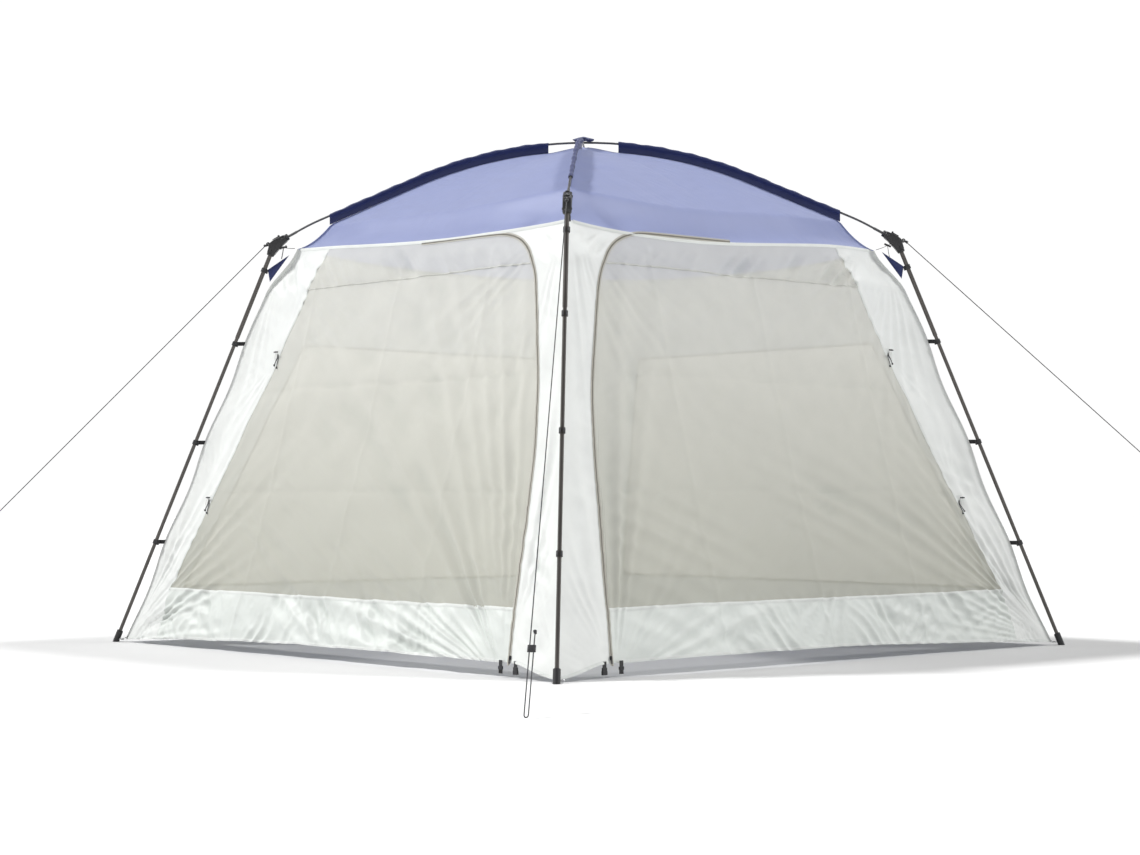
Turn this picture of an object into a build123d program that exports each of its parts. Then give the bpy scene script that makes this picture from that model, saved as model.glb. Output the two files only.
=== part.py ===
"""Screen house: a square camping shelter on four leaning legs under two crossed roof rods.

Frame of the part: X and Y run along the walls, Z is up, and the origin is on the ground in the middle.
The door walls face -Y (left door) and +X (right door), so they meet at the front corner (+X, -Y).
Everything at a corner is drawn once in the XZ plane, with X outwards, and turned to each corner.
Everything on a wall is drawn on the -Y wall, then mirrored or turned to the other walls.
"""

import math
import os

from build123d import *

# Frame
FOOT_HALF = 1500.0  # half the side of the square that the leg axes meet the ground on
HUB_HALF = 1005.0  # half the side of the square that the tops of the legs make
HUB_HEIGHT = 1757.0  # height of the tops of the legs
LEG_UPPER_RADIUS = 9.5
LEG_LOWER_RADIUS = 8.0
TUBE_WALL = 1.2
LEG_SPLIT = 1480.0  # distance up the leg at which the lower tube enters the upper one
LEG_OVERLAP = 70.0
FOOT_RADIUS = 14.0
FOOT_LENGTH = 55.0

# Hubs
ELBOW_RISE = 48.0  # distance past the top of the leg at which leg and rod axes meet
SOCKET_RADIUS = 16.0
SOCKET_LENGTH = 55.0
LEG_END_GAP = 30.0  # from the elbow down to the end of the leg in its socket
ROD_SOCKET_RADIUS = 14.0
ROD_SOCKET_LENGTH = 70.0
WEB_THICKNESS = 20.0
EYE_OUT = 30.0  # from the elbow to the centre of the eye that the guy line is tied to

# Roof rods
ROD_RADIUS = 4.75
ROD_KNEE = (1240.0, 1892.0)  # distance from the middle and height where a rod flattens out
ROD_APEX = 2410.0  # height where the straight parts of a rod would meet
ROD_GAP = 28.0  # height between the points where the straight parts of the two rods would meet
KNEE_BEND = 900.0
APEX_BEND = 1940.0
FERRULE_RADIUS = 6.0
SLEEVE_RADIUS = 8.0
SLEEVE_FIN = 16.0
SLEEVE_WALL = 1.6
SLEEVE_START = 160.0  # distance from the middle to the upper end of a sleeve
SLEEVE_END = 1150.0  # distance from the middle to the lower end of a sleeve

# Fabric
FABRIC = 1.6
FABRIC_HALF = 1470.0  # half the side of the square that the wall planes make on the ground
ROOF_EDGE = 1735.0  # height of the seam between walls and roof
SEAM = 3.0  # gap left at a seam between two pieces of cloth
CORNER_HEM = 10.0
HEM = 52.0  # height of the bottom edge of the walls away from the corners
SKIRT = 245.0  # height at which the mesh begins
MESH_EDGE_TOP = 615.0  # half width of the mesh at the roof edge
MESH_EDGE_BOTTOM = 1212.0  # half width of the mesh at the skirt
REAR_SEAM = 1358.0  # height at which the rear walls turn from mesh to cloth
CANOPY_DROP = 32.0  # from the axis of a rod down to the ridge of the canopy
CANOPY_THICKNESS = 3.0
RIDGE_RUNS = (1120.0, 750.0, 560.0, 374.0)  # distances from the middle at which the canopy's ridges bend
PEAK = (20.0, 2217.0)  # half side and height of the canopy's flat peak

# Doors: the zip is a path in (distance along the wall, height)
ZIP_PATH = [(1190.0, 45.0), (1035.0, 1000.0), (800.0, 1706.0), (80.0, 1712.0)]
ZIP_BENDS = [2500.0, 330.0]
ZIP_HALF = 15.0
ZIP_THICKNESS = 1.4
SLIDER_HEIGHT = 72.0
PULL_AXIS = (0.6, 5.0)  # from the middle of the slider: up the zip, and out from the wall
PULL_THICKNESS = 1.4
HINGE_BOTTOM = (-1205.0, 45.0)
HINGE_GAP = 1.5

# Toggles and buckles: distance along the wall and height
TOGGLES = {"upper": (-805.0, 1295.0), "lower": (-1066.0, 650.0)}
BUCKLE_OFFSET = 42.0  # from the bottom of the zip sideways to each half of the buckle

# Pole clips: distance up the leg, then the radius of the tube that each one grips
CLIPS = [(up, LEG_LOWER_RADIUS) for up in (486.0, 970.0, 1452.0)] + [(1811.0, LEG_UPPER_RADIUS)]

# Guy lines: distance from the middle of the shelter to where each line meets the ground
GUY_REACH = {"front": 3332.0, "left": 3250.0, "right": 3400.0, "back": 3300.0}
GUY_SIDE = {"front": -28.0, "left": 0.0, "right": 0.0, "back": 0.0}  # how far that place is off the diagonal
CORD_RADIUS = 2.0
STRAND_GAP = 13.0
RETURN_LENGTH = 345.0
RUNNER_UP = 275.0  # from the ground end of a guy line up to the middle of its runner
RUNNER_SIZE = (24.0, 27.0, 8.0)  # along the line, across the two strands, thick

# Direction of each corner from +X, in degrees
CORNERS = {"front": -45.0, "left": 225.0, "right": 45.0, "back": 135.0}

# Points and planes that follow from the dimensions
ROOT2 = math.sqrt(2)
LEAN = math.atan((FOOT_HALF - HUB_HALF) / HUB_HEIGHT)
FOOT = Vector(FOOT_HALF * ROOT2, 0, 0)
LEG_TOP = Vector(HUB_HALF * ROOT2, 0, HUB_HEIGHT)
LEG_LENGTH = (LEG_TOP - FOOT).length
UP_LEG = (LEG_TOP - FOOT).normalized()
INWARD = Vector(-UP_LEG.Z, 0, UP_LEG.X)
ELBOW = LEG_TOP + UP_LEG * ELBOW_RISE
UP_ROD = (Vector(ROD_KNEE[0], 0, ROD_KNEE[1]) - ELBOW).normalized()
WALL = Plane(origin=(0, -FABRIC_HALF, 0), x_dir=(1, 0, 0), z_dir=(0, -math.cos(LEAN), math.sin(LEAN)))
DIAGONAL = Plane(origin=(0, 0, 0), x_dir=(0, 0, 1), z_dir=(1, 1, 0))
WALL_TOP = ROOF_EDGE - SEAM
HINGE_TOP = ZIP_PATH[-1]


def save(builder, name):
    """Name a finished piece and write it."""
    builder.part.label = name
    export_step(builder.part, f"parts/{name}.step")


def across(origin, direction):
    """The plane through a point of the corner drawing that a tube along direction is drawn on."""
    return Plane(origin=origin, x_dir=(0, 1, 0), z_dir=direction)


def turned(drawn, angle):
    """The same piece turned about the middle of the shelter."""
    with BuildPart() as piece:
        with Locations(Location((0, 0, 0), (0, 0, angle))):
            add(drawn.part)
    return piece


def at_all_corners(drawn):
    """The same piece at all four corners, as separate solids."""
    with BuildPart() as pieces:
        with PolarLocations(0, len(CORNERS), start_angle=CORNERS["front"]):
            add(drawn.part)
    return pieces


def mirrored(drawn):
    """A piece of the left door wall, as it is on the right door wall."""
    with BuildPart() as piece:
        mirror(drawn.part, about=DIAGONAL)
    return piece


def on_wall(point):
    """A point (distance along the wall, height) on the wall's plane."""
    return Vector(point[0], point[1] / math.cos(LEAN))


def wall_edge(height):
    """Distance along a wall from its middle to its corner edge."""
    return FABRIC_HALF - height * math.tan(LEAN) - FABRIC - 0.4


def beside(points, gap):
    """The corners of a path of straight runs moved sideways by gap, to the right of its direction."""
    runs = []
    for start, end in zip(points, points[1:]):
        along = (end - start).normalized()
        side = Vector(along.Y, -along.X) * gap
        runs.append((start + side, along, end + side))
    corners = [runs[0][0]]
    for (start, along, _), (other, turn, _) in zip(runs, runs[1:]):
        step = (other - start).cross(turn).Z / along.cross(turn).Z
        corners.append(start + along * step)
    return corners + [runs[-1][2]]


def zip_edge(gap):
    """The path of the zip moved sideways: positive is away from the door."""
    corners = beside([on_wall(p) for p in ZIP_PATH], gap)
    return FilletPolyline(corners, radius=[bend + gap for bend in ZIP_BENDS])


def panel(points):
    """A flat piece of cloth on the left door wall, from its corners."""
    with BuildPart() as cloth:
        with BuildSketch(WALL):
            with BuildLine():
                Polyline([on_wall(p) for p in points], close=True)
            make_face()
        extrude(amount=-FABRIC)
    return cloth


def panel_to_zip(gap, points):
    """A piece bounded by the zip moved sideways by gap, and by points from its top end to its bottom."""
    with BuildPart() as cloth:
        with BuildSketch(WALL):
            with BuildLine():
                edge = zip_edge(gap)
                Polyline([edge @ 1] + [on_wall(p) for p in points] + [edge @ 0])
            make_face()
        extrude(amount=-FABRIC)
    return cloth


def zip_strip(near, far):
    """One half of the zip, between two distances from its middle."""
    with BuildPart() as strip:
        with BuildSketch(WALL):
            with BuildLine():
                inner = zip_edge(near)
                outer = zip_edge(far)
                Line(inner @ 0, outer @ 0)
                Line(inner @ 1, outer @ 1)
            make_face()
        extrude(amount=-ZIP_THICKNESS)
    return strip


def hinge_point(height, gap):
    """The point of the door's fold line at a height, moved gap sideways towards the door."""
    bottom, top = on_wall(HINGE_BOTTOM), on_wall(HINGE_TOP)
    along = (top - bottom).normalized()
    side = Vector(along.Y, -along.X) * gap
    rise = height / math.cos(LEAN) - bottom.Y - side.Y
    point = bottom + side + along * (rise / along.Y)
    return (point.X, height)


def mesh_edge(height, inset):
    """Distance from the middle of a wall to the outer edge of its mesh, less an inset."""
    share = (height - SKIRT) / (ROOF_EDGE - SKIRT)
    return MESH_EDGE_BOTTOM + (MESH_EDGE_TOP - MESH_EDGE_BOTTOM) * share - inset


os.makedirs("parts", exist_ok=True)

# Legs: a lower tube that slips into a wider upper tube, both hollow
with BuildPart() as leg:
    with BuildSketch(across(FOOT + UP_LEG * 12, UP_LEG)):
        Circle(LEG_LOWER_RADIUS)
        Circle(LEG_LOWER_RADIUS - TUBE_WALL, mode=Mode.SUBTRACT)
    extrude(amount=LEG_SPLIT + LEG_OVERLAP - 12)
    with BuildSketch(across(FOOT + UP_LEG * LEG_SPLIT, UP_LEG)):
        Circle(LEG_UPPER_RADIUS)
        Circle(LEG_UPPER_RADIUS - TUBE_WALL, mode=Mode.SUBTRACT)
    extrude(amount=LEG_LENGTH - LEG_SPLIT + ELBOW_RISE - LEG_END_GAP)
for corner, angle in CORNERS.items():
    save(turned(leg, angle), f"leg_{corner}")

# Feet: moulded caps on the ends of the legs, cut flat on the ground
with BuildPart() as foot:
    with BuildSketch(across(FOOT - UP_LEG * FOOT_RADIUS, UP_LEG)):
        Circle(FOOT_RADIUS)
    extrude(amount=FOOT_RADIUS + FOOT_LENGTH)
    chamfer(foot.faces().sort_by(Axis.Z)[-1].edges(), 2.0)
    split(bisect_by=Plane.XY, keep=Keep.TOP)
    with BuildSketch(across(FOOT + UP_LEG * 11, UP_LEG)):
        Circle(LEG_LOWER_RADIUS + 0.2)
    extrude(amount=FOOT_LENGTH, mode=Mode.SUBTRACT)
save(at_all_corners(foot), "foot_caps")

# Hubs: a ribbed leg socket, a rod socket and an eye, moulded in one
leg_down = across(ELBOW, UP_LEG * -1)
rod_up = across(ELBOW, UP_ROD)
eye_plane = Plane(origin=ELBOW, x_dir=(1, 0, 0), z_dir=(0, -1, 0))
with BuildPart() as hub:
    with BuildSketch(leg_down):
        Circle(SOCKET_RADIUS)
    extrude(amount=SOCKET_LENGTH)
    for ring in range(3):
        with BuildSketch(leg_down.offset(SOCKET_LENGTH - 6 - 16 * ring)):
            Circle(SOCKET_RADIUS + 2.2)
        extrude(amount=5)
    with BuildSketch(rod_up):
        Circle(ROD_SOCKET_RADIUS)
    extrude(amount=ROD_SOCKET_LENGTH)
    with BuildSketch(rod_up.offset(ROD_SOCKET_LENGTH - 7)):
        Circle(ROD_SOCKET_RADIUS + 2)
    extrude(amount=6)
    with Locations(ELBOW):
        Sphere(SOCKET_RADIUS + 4)
    with BuildSketch(Plane.XZ):
        with BuildLine():
            web = [ELBOW, ELBOW + UP_ROD * ROD_SOCKET_LENGTH * 0.85, ELBOW - UP_LEG * SOCKET_LENGTH * 0.9]
            Polyline([(p.X, p.Z) for p in web], close=True)
        make_face()
    extrude(amount=WEB_THICKNESS / 2, both=True)
    with BuildSketch(eye_plane):
        with Locations((EYE_OUT / 2, 0)):
            Rectangle(EYE_OUT, 18)
        with Locations((EYE_OUT, 0)):
            Circle(9)
    extrude(amount=3.5, both=True)
    with BuildSketch(eye_plane):
        with Locations((EYE_OUT, 0)):
            Circle(4)
    extrude(amount=4, both=True, mode=Mode.SUBTRACT)
    with BuildSketch(leg_down.offset(SOCKET_LENGTH)):
        Circle(LEG_UPPER_RADIUS + 0.2)
    extrude(amount=LEG_END_GAP - 2 - SOCKET_LENGTH, mode=Mode.SUBTRACT)
    with BuildSketch(rod_up.offset(ROD_SOCKET_LENGTH)):
        Circle(FERRULE_RADIUS + 0.2)
    extrude(amount=-46, mode=Mode.SUBTRACT)
for corner, angle in CORNERS.items():
    save(turned(hub, angle), f"hub_{corner}")

# Ferrules: metal ends of the roof rods, pushed into the hubs
with BuildPart() as ferrule:
    with BuildSketch(rod_up.offset(26)):
        Circle(FERRULE_RADIUS)
        Circle(ROD_RADIUS + 0.2, mode=Mode.SUBTRACT)
    extrude(amount=90)
save(at_all_corners(ferrule), "rod_ferrules")

# Roof rods: two arches from hub to hub, one passing over the other
knee = Vector(ROD_KNEE[0], 0, ROD_KNEE[1])
half = [ELBOW + UP_ROD * 28, knee]
other_half = [Vector(-p.X, 0, p.Z) for p in reversed(half)]
sleeve_parts = []
for name, angle, lift in [("left_right", 45.0, ROD_GAP / 2), ("front_back", -45.0, -ROD_GAP / 2)]:
    apex = Vector(0, 0, ROD_APEX + lift)
    with BuildPart() as rod:
        with BuildLine():
            arch = FilletPolyline(half + [apex] + other_half, radius=[KNEE_BEND, APEX_BEND, KNEE_BEND])
        with BuildSketch(across(arch @ 0, arch % 0)):
            Circle(ROD_RADIUS)
        sweep()
    save(turned(rod, angle), f"roof_rod_{name}")

    # Its sleeve: a cloth tube round each half of the rod, with a fin down to the canopy
    pitch = math.atan((apex.Z - knee.Z) / knee.X)
    begin = math.asin(SLEEVE_START / APEX_BEND)
    straight = SLEEVE_END / math.cos(pitch) - APEX_BEND * math.tan(pitch)
    with BuildPart() as sleeve:
        with BuildLine(Plane.XZ):
            bend = CenterArc(
                (0, apex.Z - APEX_BEND / math.cos(pitch)),
                APEX_BEND,
                90 - math.degrees(begin),
                -math.degrees(pitch - begin),
            )
            Line(bend @ 1, bend @ 1 + (bend % 1) * straight)
        with BuildSketch(across(bend @ 0, bend % 0)):
            Circle(SLEEVE_RADIUS)
            with Locations((0, -(SLEEVE_RADIUS + SLEEVE_FIN) / 2)):
                Rectangle(2.4, SLEEVE_RADIUS + SLEEVE_FIN)
            Circle(SLEEVE_RADIUS - SLEEVE_WALL, mode=Mode.SUBTRACT)
        sweep()
    sleeve_parts += [turned(sleeve, angle).part, turned(sleeve, angle + 180).part]
with BuildPart() as sleeves:
    add(sleeve_parts)
save(sleeves, "rod_sleeves")

# Peak cap: a shallow cone of cloth over the crossing of the rods
with BuildPart() as peak_cap:
    with BuildSketch(Plane.XZ):
        with BuildLine():
            Polyline((0, 2277), (58, 2271), (58, 2273), (0, 2281), close=True)
        make_face()
    revolve(axis=Axis.Z)
save(peak_cap, "peak_cap")

# Canopy: a domed shell hanging under the rods, cut into four gores along its ridges
rod_slope = (ROD_APEX - ROD_KNEE[1]) / ROD_KNEE[0]
bend_end = APEX_BEND * math.sin(math.atan(rod_slope))
bend_centre = ROD_APEX - APEX_BEND * math.hypot(1, rod_slope)


def ridge(run):
    """Half side and height of the canopy where its ridges are at a distance from the middle."""
    if run < bend_end:
        axis = bend_centre + math.sqrt(APEX_BEND**2 - run**2)
    else:
        axis = ROD_APEX - rod_slope * run
    return (run / ROOT2, axis - CANOPY_DROP)


RINGS = [
    (FABRIC_HALF - ROOF_EDGE * math.tan(LEAN), ROOF_EDGE),
    *[ridge(run) for run in RIDGE_RUNS],
    PEAK,
]
with BuildPart() as canopy:
    for lower, mode in [(0.0, Mode.ADD), (CANOPY_THICKNESS, Mode.SUBTRACT)]:
        for half_side, height in RINGS:
            with BuildSketch(Plane.XY.offset(height - lower)):
                Rectangle(2 * half_side, 2 * half_side)
        loft(ruled=True, mode=mode)
reach = RINGS[0][0] + 50
for wall, angle in {"left": 0.0, "right": 90.0, "rear_right": 180.0, "rear_left": 270.0}.items():
    with BuildPart() as gore:
        add(canopy.part)
        with BuildSketch(Plane.XY.rotated((0, 0, angle)).offset(ROOF_EDGE - 50)):
            with BuildLine():
                Polyline((0, -SEAM / 4), (reach, -reach - SEAM / 4), (-reach, -reach - SEAM / 4), close=True)
            make_face()
        extrude(amount=700, mode=Mode.INTERSECT)
    save(gore, f"canopy_{wall}")

# Corner tabs: triangles of cloth from the roof's corners to the legs
with BuildPart() as corner_tab:
    with BuildSketch(Plane.XZ):
        with BuildLine():
            Polyline((1391, 1734), (1427, 1690), (1434, 1629), close=True)
        make_face()
    extrude(amount=FABRIC / 2, both=True)
save(at_all_corners(corner_tab), "corner_tabs")

# Corner straps: webbing with a ladder buckle, from each hub to the roof's corner
with BuildPart() as corner_strap:
    with BuildSketch(Plane.XZ):
        with Locations((1352, 1792)):
            Rectangle(61, FABRIC)
    extrude(amount=10, both=True)
    with BuildSketch(Plane.XY.offset(1793.2)):
        with Locations((1350, 0)):
            RectangleRounded(22, 28, 3)
            with GridLocations(9, 0, 2, 1):
                SlotOverall(20, 4, rotation=90, mode=Mode.SUBTRACT)
    extrude(amount=4)
save(at_all_corners(corner_strap), "corner_straps")

# Pole clips: open rings that grip the legs, each held to the wall by a strap
with BuildPart() as clips:
    for up, grip in CLIPS:
        with BuildSketch(Plane(origin=FOOT + UP_LEG * up, x_dir=INWARD, z_dir=UP_LEG)):
            Circle(grip + 4.4)
            with Locations((grip + 5, 0)):
                Rectangle(8, 9)
            Circle(grip + 0.4, mode=Mode.SUBTRACT)
            with Locations((-grip - 2, 0)):
                Rectangle(8, 9, mode=Mode.SUBTRACT)
        extrude(amount=10, both=True)
save(at_all_corners(clips), "pole_clips")
with BuildPart() as clip_straps:
    for up, grip in CLIPS[:3]:
        with BuildSketch(Plane(origin=FOOT + UP_LEG * up, x_dir=INWARD, z_dir=UP_LEG)):
            with Locations((27.0, 0)):
                Rectangle(17, FABRIC)
        extrude(amount=9, both=True)
save(at_all_corners(clip_straps), "clip_straps")

# Door walls: cloth at both sides, a fixed corner of mesh, and a door that folds back along a line
corner_panel = panel_to_zip(
    ZIP_HALF,
    [
        (HINGE_TOP[0], WALL_TOP),
        (wall_edge(WALL_TOP), WALL_TOP),
        (wall_edge(CORNER_HEM), CORNER_HEM),
        (1225.0, HEM),
    ],
)
side_panel = panel(
    [
        (-wall_edge(CORNER_HEM), CORNER_HEM),
        (HINGE_BOTTOM[0] - 20, HEM),
        hinge_point(HEM, -HINGE_GAP),
        hinge_point(SKIRT, -HINGE_GAP),
        (-MESH_EDGE_BOTTOM, SKIRT),
        (-mesh_edge(WALL_TOP, 0), WALL_TOP),
        (-wall_edge(WALL_TOP), WALL_TOP),
    ]
)
mesh_start = SKIRT + SEAM
fixed_mesh = panel(
    [
        (-mesh_edge(mesh_start, SEAM), mesh_start),
        hinge_point(mesh_start, -HINGE_GAP),
        hinge_point(HINGE_TOP[1], -HINGE_GAP),
        (HINGE_TOP[0] - 2 * SEAM, WALL_TOP),
        (-mesh_edge(WALL_TOP, SEAM), WALL_TOP),
    ]
)
zip_foot = (on_wall(ZIP_PATH[1]) - on_wall(ZIP_PATH[0])).normalized()


def door_edge(height):
    """Distance along the wall of the straight lower part of the door's zip edge at a height."""
    start = beside([on_wall(p) for p in ZIP_PATH], -ZIP_HALF)[0]
    return start.X + zip_foot.X / zip_foot.Y * (height / math.cos(LEAN) - start.Y)


door_sheet = panel_to_zip(
    -ZIP_HALF,
    [hinge_point(HINGE_TOP[1] - 20, HINGE_GAP), hinge_point(HEM, HINGE_GAP)],
)
with BuildPart() as door_mesh:
    add(door_sheet.part)
    with BuildSketch(WALL):
        with Locations(on_wall((0, mesh_start / 2))):
            Rectangle(4 * FOOT_HALF, mesh_start / math.cos(LEAN))
    extrude(amount=-2 * FABRIC, mode=Mode.SUBTRACT)
door_skirt = panel(
    [
        hinge_point(HEM, HINGE_GAP),
        hinge_point(SKIRT, HINGE_GAP),
        (door_edge(SKIRT), SKIRT),
        (door_edge(HEM), HEM),
    ]
)
zip_fixed = zip_strip(1.0, ZIP_HALF - 0.2)
zip_door = zip_strip(-1.0, -ZIP_HALF + 0.2)

# Zip slider and its pull, in front of the fixed half of the zip
slider_side = Vector(zip_foot.Y, -zip_foot.X)
slider_start = on_wall(ZIP_PATH[0]) + zip_foot * (SLIDER_HEIGHT - ZIP_PATH[0][1]) + slider_side * 7
SLIDER_PLANE = Plane(
    origin=WALL.from_local_coords(Vector(slider_start.X, slider_start.Y, 0)),
    x_dir=WALL.from_local_coords(slider_side) - WALL.origin,
    z_dir=WALL.z_dir,
)
with BuildPart() as zip_slider:
    with BuildSketch(SLIDER_PLANE.offset(0.5)):
        RectangleRounded(10, 15, 3)
    extrude(amount=3)
    with BuildSketch(SLIDER_PLANE.offset(3.5)):
        with GridLocations(0, 9, 1, 2):
            Rectangle(3, 2)
    extrude(amount=3)
    with BuildSketch(SLIDER_PLANE.offset(6.5)):
        Rectangle(3, 11)
    extrude(amount=1.2)
with BuildPart() as zip_pull:
    with BuildSketch(SLIDER_PLANE.offset(PULL_AXIS[1] - PULL_THICKNESS / 2)):
        with Locations((0, PULL_AXIS[0] + PULL_THICKNESS / 2 - 12)):
            RectangleRounded(7, 24, 0.6)
        with Locations((0, PULL_AXIS[0] - PULL_THICKNESS / 2 - 4)):
            Rectangle(3.8, 8, mode=Mode.SUBTRACT)
        with Locations((0, PULL_AXIS[0] - 17)):
            Circle(1.6, mode=Mode.SUBTRACT)
    extrude(amount=PULL_THICKNESS)

# Toggles: short bars that turn on the wall and hold the rolled door
toggles = {}
for name, place in TOGGLES.items():
    with BuildPart() as toggle:
        with Locations(WALL.offset(7) * Location(on_wall(place))):
            Cylinder(3, 26, rotation=(0, 90, 0))
            Cylinder(3.8, 5, rotation=(0, 90, 0))
    toggles[name] = toggle

# Buckle halves: hang on short webbing at the bottom of the zip, the plug on the door's side
BUCKLE_PIVOT = 62.0
buckle_y = -FABRIC_HALF + BUCKLE_PIVOT * math.tan(LEAN) - 7.0


def buckle_half(along, plug):
    """One half of a side-release buckle on its webbing, hanging straight down."""
    with BuildPart() as half:
        with BuildSketch(Plane.XY.offset(BUCKLE_PIVOT)):
            with Locations((along, buckle_y)):
                Rectangle(18, FABRIC)
        extrude(amount=-22)
        with BuildSketch(Plane.XY.offset(BUCKLE_PIVOT - 22)):
            with Locations((along, buckle_y)):
                RectangleRounded(23, 7, 2)
        extrude(amount=-12)
        with BuildSketch(Plane.XY.offset(BUCKLE_PIVOT - 34)):
            with Locations((along, buckle_y)):
                if plug:
                    with GridLocations(15, 0, 2, 1):
                        Rectangle(3, 4)
                    Rectangle(4, 4)
                else:
                    RectangleRounded(26, 9, 3)
                    Rectangle(19, 5, mode=Mode.SUBTRACT)
        extrude(amount=-15)
    return half


buckle_plug = buckle_half(ZIP_PATH[0][0] - BUCKLE_OFFSET, True)
buckle_socket = buckle_half(ZIP_PATH[0][0] + BUCKLE_OFFSET, False)

door_wall = {
    "corner_panel": corner_panel,
    "side_panel": side_panel,
    "fixed_mesh": fixed_mesh,
    "door_mesh": door_mesh,
    "door_skirt": door_skirt,
    "zip_fixed": zip_fixed,
    "zip_door": zip_door,
    "zip_slider": zip_slider,
    "zip_pull": zip_pull,
    "toggle_upper": toggles["upper"],
    "toggle_lower": toggles["lower"],
    "buckle_plug": buckle_plug,
    "buckle_socket": buckle_socket,
}
for name, piece in door_wall.items():
    save(piece, f"{name}_left")
    save(mirrored(piece), f"{name}_right")

# Rear walls: cloth all round a sewn-in window of mesh
window = [(1, mesh_start), (1, REAR_SEAM), (-1, REAR_SEAM), (-1, mesh_start)]
rear_panel = panel(
    [
        (-wall_edge(CORNER_HEM), CORNER_HEM),
        (-MESH_EDGE_BOTTOM, HEM),
        (MESH_EDGE_BOTTOM, HEM),
        (wall_edge(CORNER_HEM), CORNER_HEM),
        (wall_edge(WALL_TOP), WALL_TOP),
        (-wall_edge(WALL_TOP), WALL_TOP),
    ]
)
hole = panel([(side * mesh_edge(height, 0), height) for side, height in window])
rear_mesh = panel(
    [
        (side * mesh_edge(height, SEAM), min(max(height, mesh_start + SEAM), REAR_SEAM - SEAM))
        for side, height in window
    ]
)
with BuildPart() as rear_cloth:
    add(rear_panel.part)
    add(hole.part, mode=Mode.SUBTRACT)
for wall, angle in {"left": 270.0, "right": 180.0}.items():
    save(turned(rear_cloth, angle), f"rear_panel_{wall}")
    save(turned(rear_mesh, angle), f"rear_mesh_{wall}")

# Guy lines: from the eye of each hub to the ground, round and back up through the runner
GUY_START = ELBOW + Vector(EYE_OUT + 10.5, 0, -5.0)


def guy_route(corner):
    """The corners of a guy line's path."""
    ground = Vector(GUY_REACH[corner], GUY_SIDE[corner], CORD_RADIUS + 3.0)
    down = (ground - GUY_START).normalized()
    beyond = ground + strand_side(down) * STRAND_GAP
    return [GUY_START, ground, beyond, beyond - down * RETURN_LENGTH]


def strand_side(down):
    """The level direction from one strand of a guy line to the other."""
    return Vector(-down.Y, down.X, 0).normalized()


for corner, angle in CORNERS.items():
    route = guy_route(corner)
    bend = 0.45 * STRAND_GAP
    with BuildPart() as guy_line:
        with BuildLine():
            path = FilletPolyline(route, radius=[bend, bend])
        with BuildSketch(across(path @ 0, path % 0)):
            Circle(CORD_RADIUS)
        sweep()
    print(f"{corner} guy line: {path.length:.0f} mm long")
    save(turned(guy_line, angle), f"guy_line_{corner}")

    # Runner: a flat block with a hole for each strand
    up_line = (route[0] - route[1]).normalized()
    side = strand_side(up_line * -1)
    middle = route[1] + up_line * RUNNER_UP + side * (STRAND_GAP / 2)
    along, wide, thick = RUNNER_SIZE
    with BuildPart() as runner:
        with BuildSketch(Plane(origin=middle, x_dir=side, z_dir=up_line)):
            RectangleRounded(wide, thick, 3)
            with GridLocations(STRAND_GAP, 0, 2, 1):
                Circle(CORD_RADIUS + 0.6, mode=Mode.SUBTRACT)
        extrude(amount=along / 2, both=True)
    save(turned(runner, angle), f"guy_runner_{corner}")
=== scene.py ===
"""Looks of the screen house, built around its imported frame. Metres, Z up, X and Y along the walls.

The door walls face -Y (left) and +X (right); the rear walls face -X (rear_left) and +Y (rear_right).
A place on a wall is (u, h): u along the wall from its middle, h the height above the ground.
Each wall is worked out on the -Y side, then mirrored or turned to where it stands. On both door
walls u grows towards the front corner, where the two walls meet.
"""

import math

import bpy
import numpy as np
from mathutils import Matrix, Vector


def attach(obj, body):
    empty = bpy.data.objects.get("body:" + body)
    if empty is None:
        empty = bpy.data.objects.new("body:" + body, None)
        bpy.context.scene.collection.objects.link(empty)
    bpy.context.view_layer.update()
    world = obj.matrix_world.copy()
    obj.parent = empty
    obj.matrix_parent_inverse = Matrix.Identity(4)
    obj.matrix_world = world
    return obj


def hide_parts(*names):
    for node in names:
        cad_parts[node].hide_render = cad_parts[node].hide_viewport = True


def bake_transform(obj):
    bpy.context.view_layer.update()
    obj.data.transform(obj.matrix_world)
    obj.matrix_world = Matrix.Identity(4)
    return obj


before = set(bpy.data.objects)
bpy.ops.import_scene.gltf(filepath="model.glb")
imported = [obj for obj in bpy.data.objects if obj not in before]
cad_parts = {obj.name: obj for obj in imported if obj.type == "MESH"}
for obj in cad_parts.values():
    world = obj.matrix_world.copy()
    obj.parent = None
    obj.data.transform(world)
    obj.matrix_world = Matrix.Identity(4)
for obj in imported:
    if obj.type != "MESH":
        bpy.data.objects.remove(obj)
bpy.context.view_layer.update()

# Places shared with the frame
FOOT_HALF = 1.500
HUB_HALF = 1.005
HUB_HEIGHT = 1.757
SLOPE = (FOOT_HALF - HUB_HALF) / HUB_HEIGHT
LEAN = math.atan(SLOPE)
WALL_HALF = 1.470
ROOF_EDGE = 1.735
SKIRT = 0.245
MESH_TOP = 0.615
MESH_BOTTOM = 1.212
REAR_SEAM = 1.358
DOOR_SEAM = 1.570
ROOT2 = math.sqrt(2)
FOLD_TOP = (0.080, 1.712)
ZIP_FOOT = (1.190, 0.045)
ZIP_CORNERS = [ZIP_FOOT, (1.035, 1.000), (0.800, 1.706), FOLD_TOP]
ZIP_BENDS = [2.5, 0.33]
ZIP_GAP = 0.003
ROD_KNEE = (1.240, 1.892)
ROD_APEX = 2.410
ROD_LIFT = {"left": 0.014, "right": 0.014, "front": -0.014, "back": -0.014}
APEX_BEND = 1.940
ELBOW = (1.4035, 1.8016)
UP_ROD = Vector((-0.8751, 0, 0.4839))
UP_LEG = Vector((-0.3701, 0, 0.9290))
CLIP_UP = [0.486, 0.970, 1.452]
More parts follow.
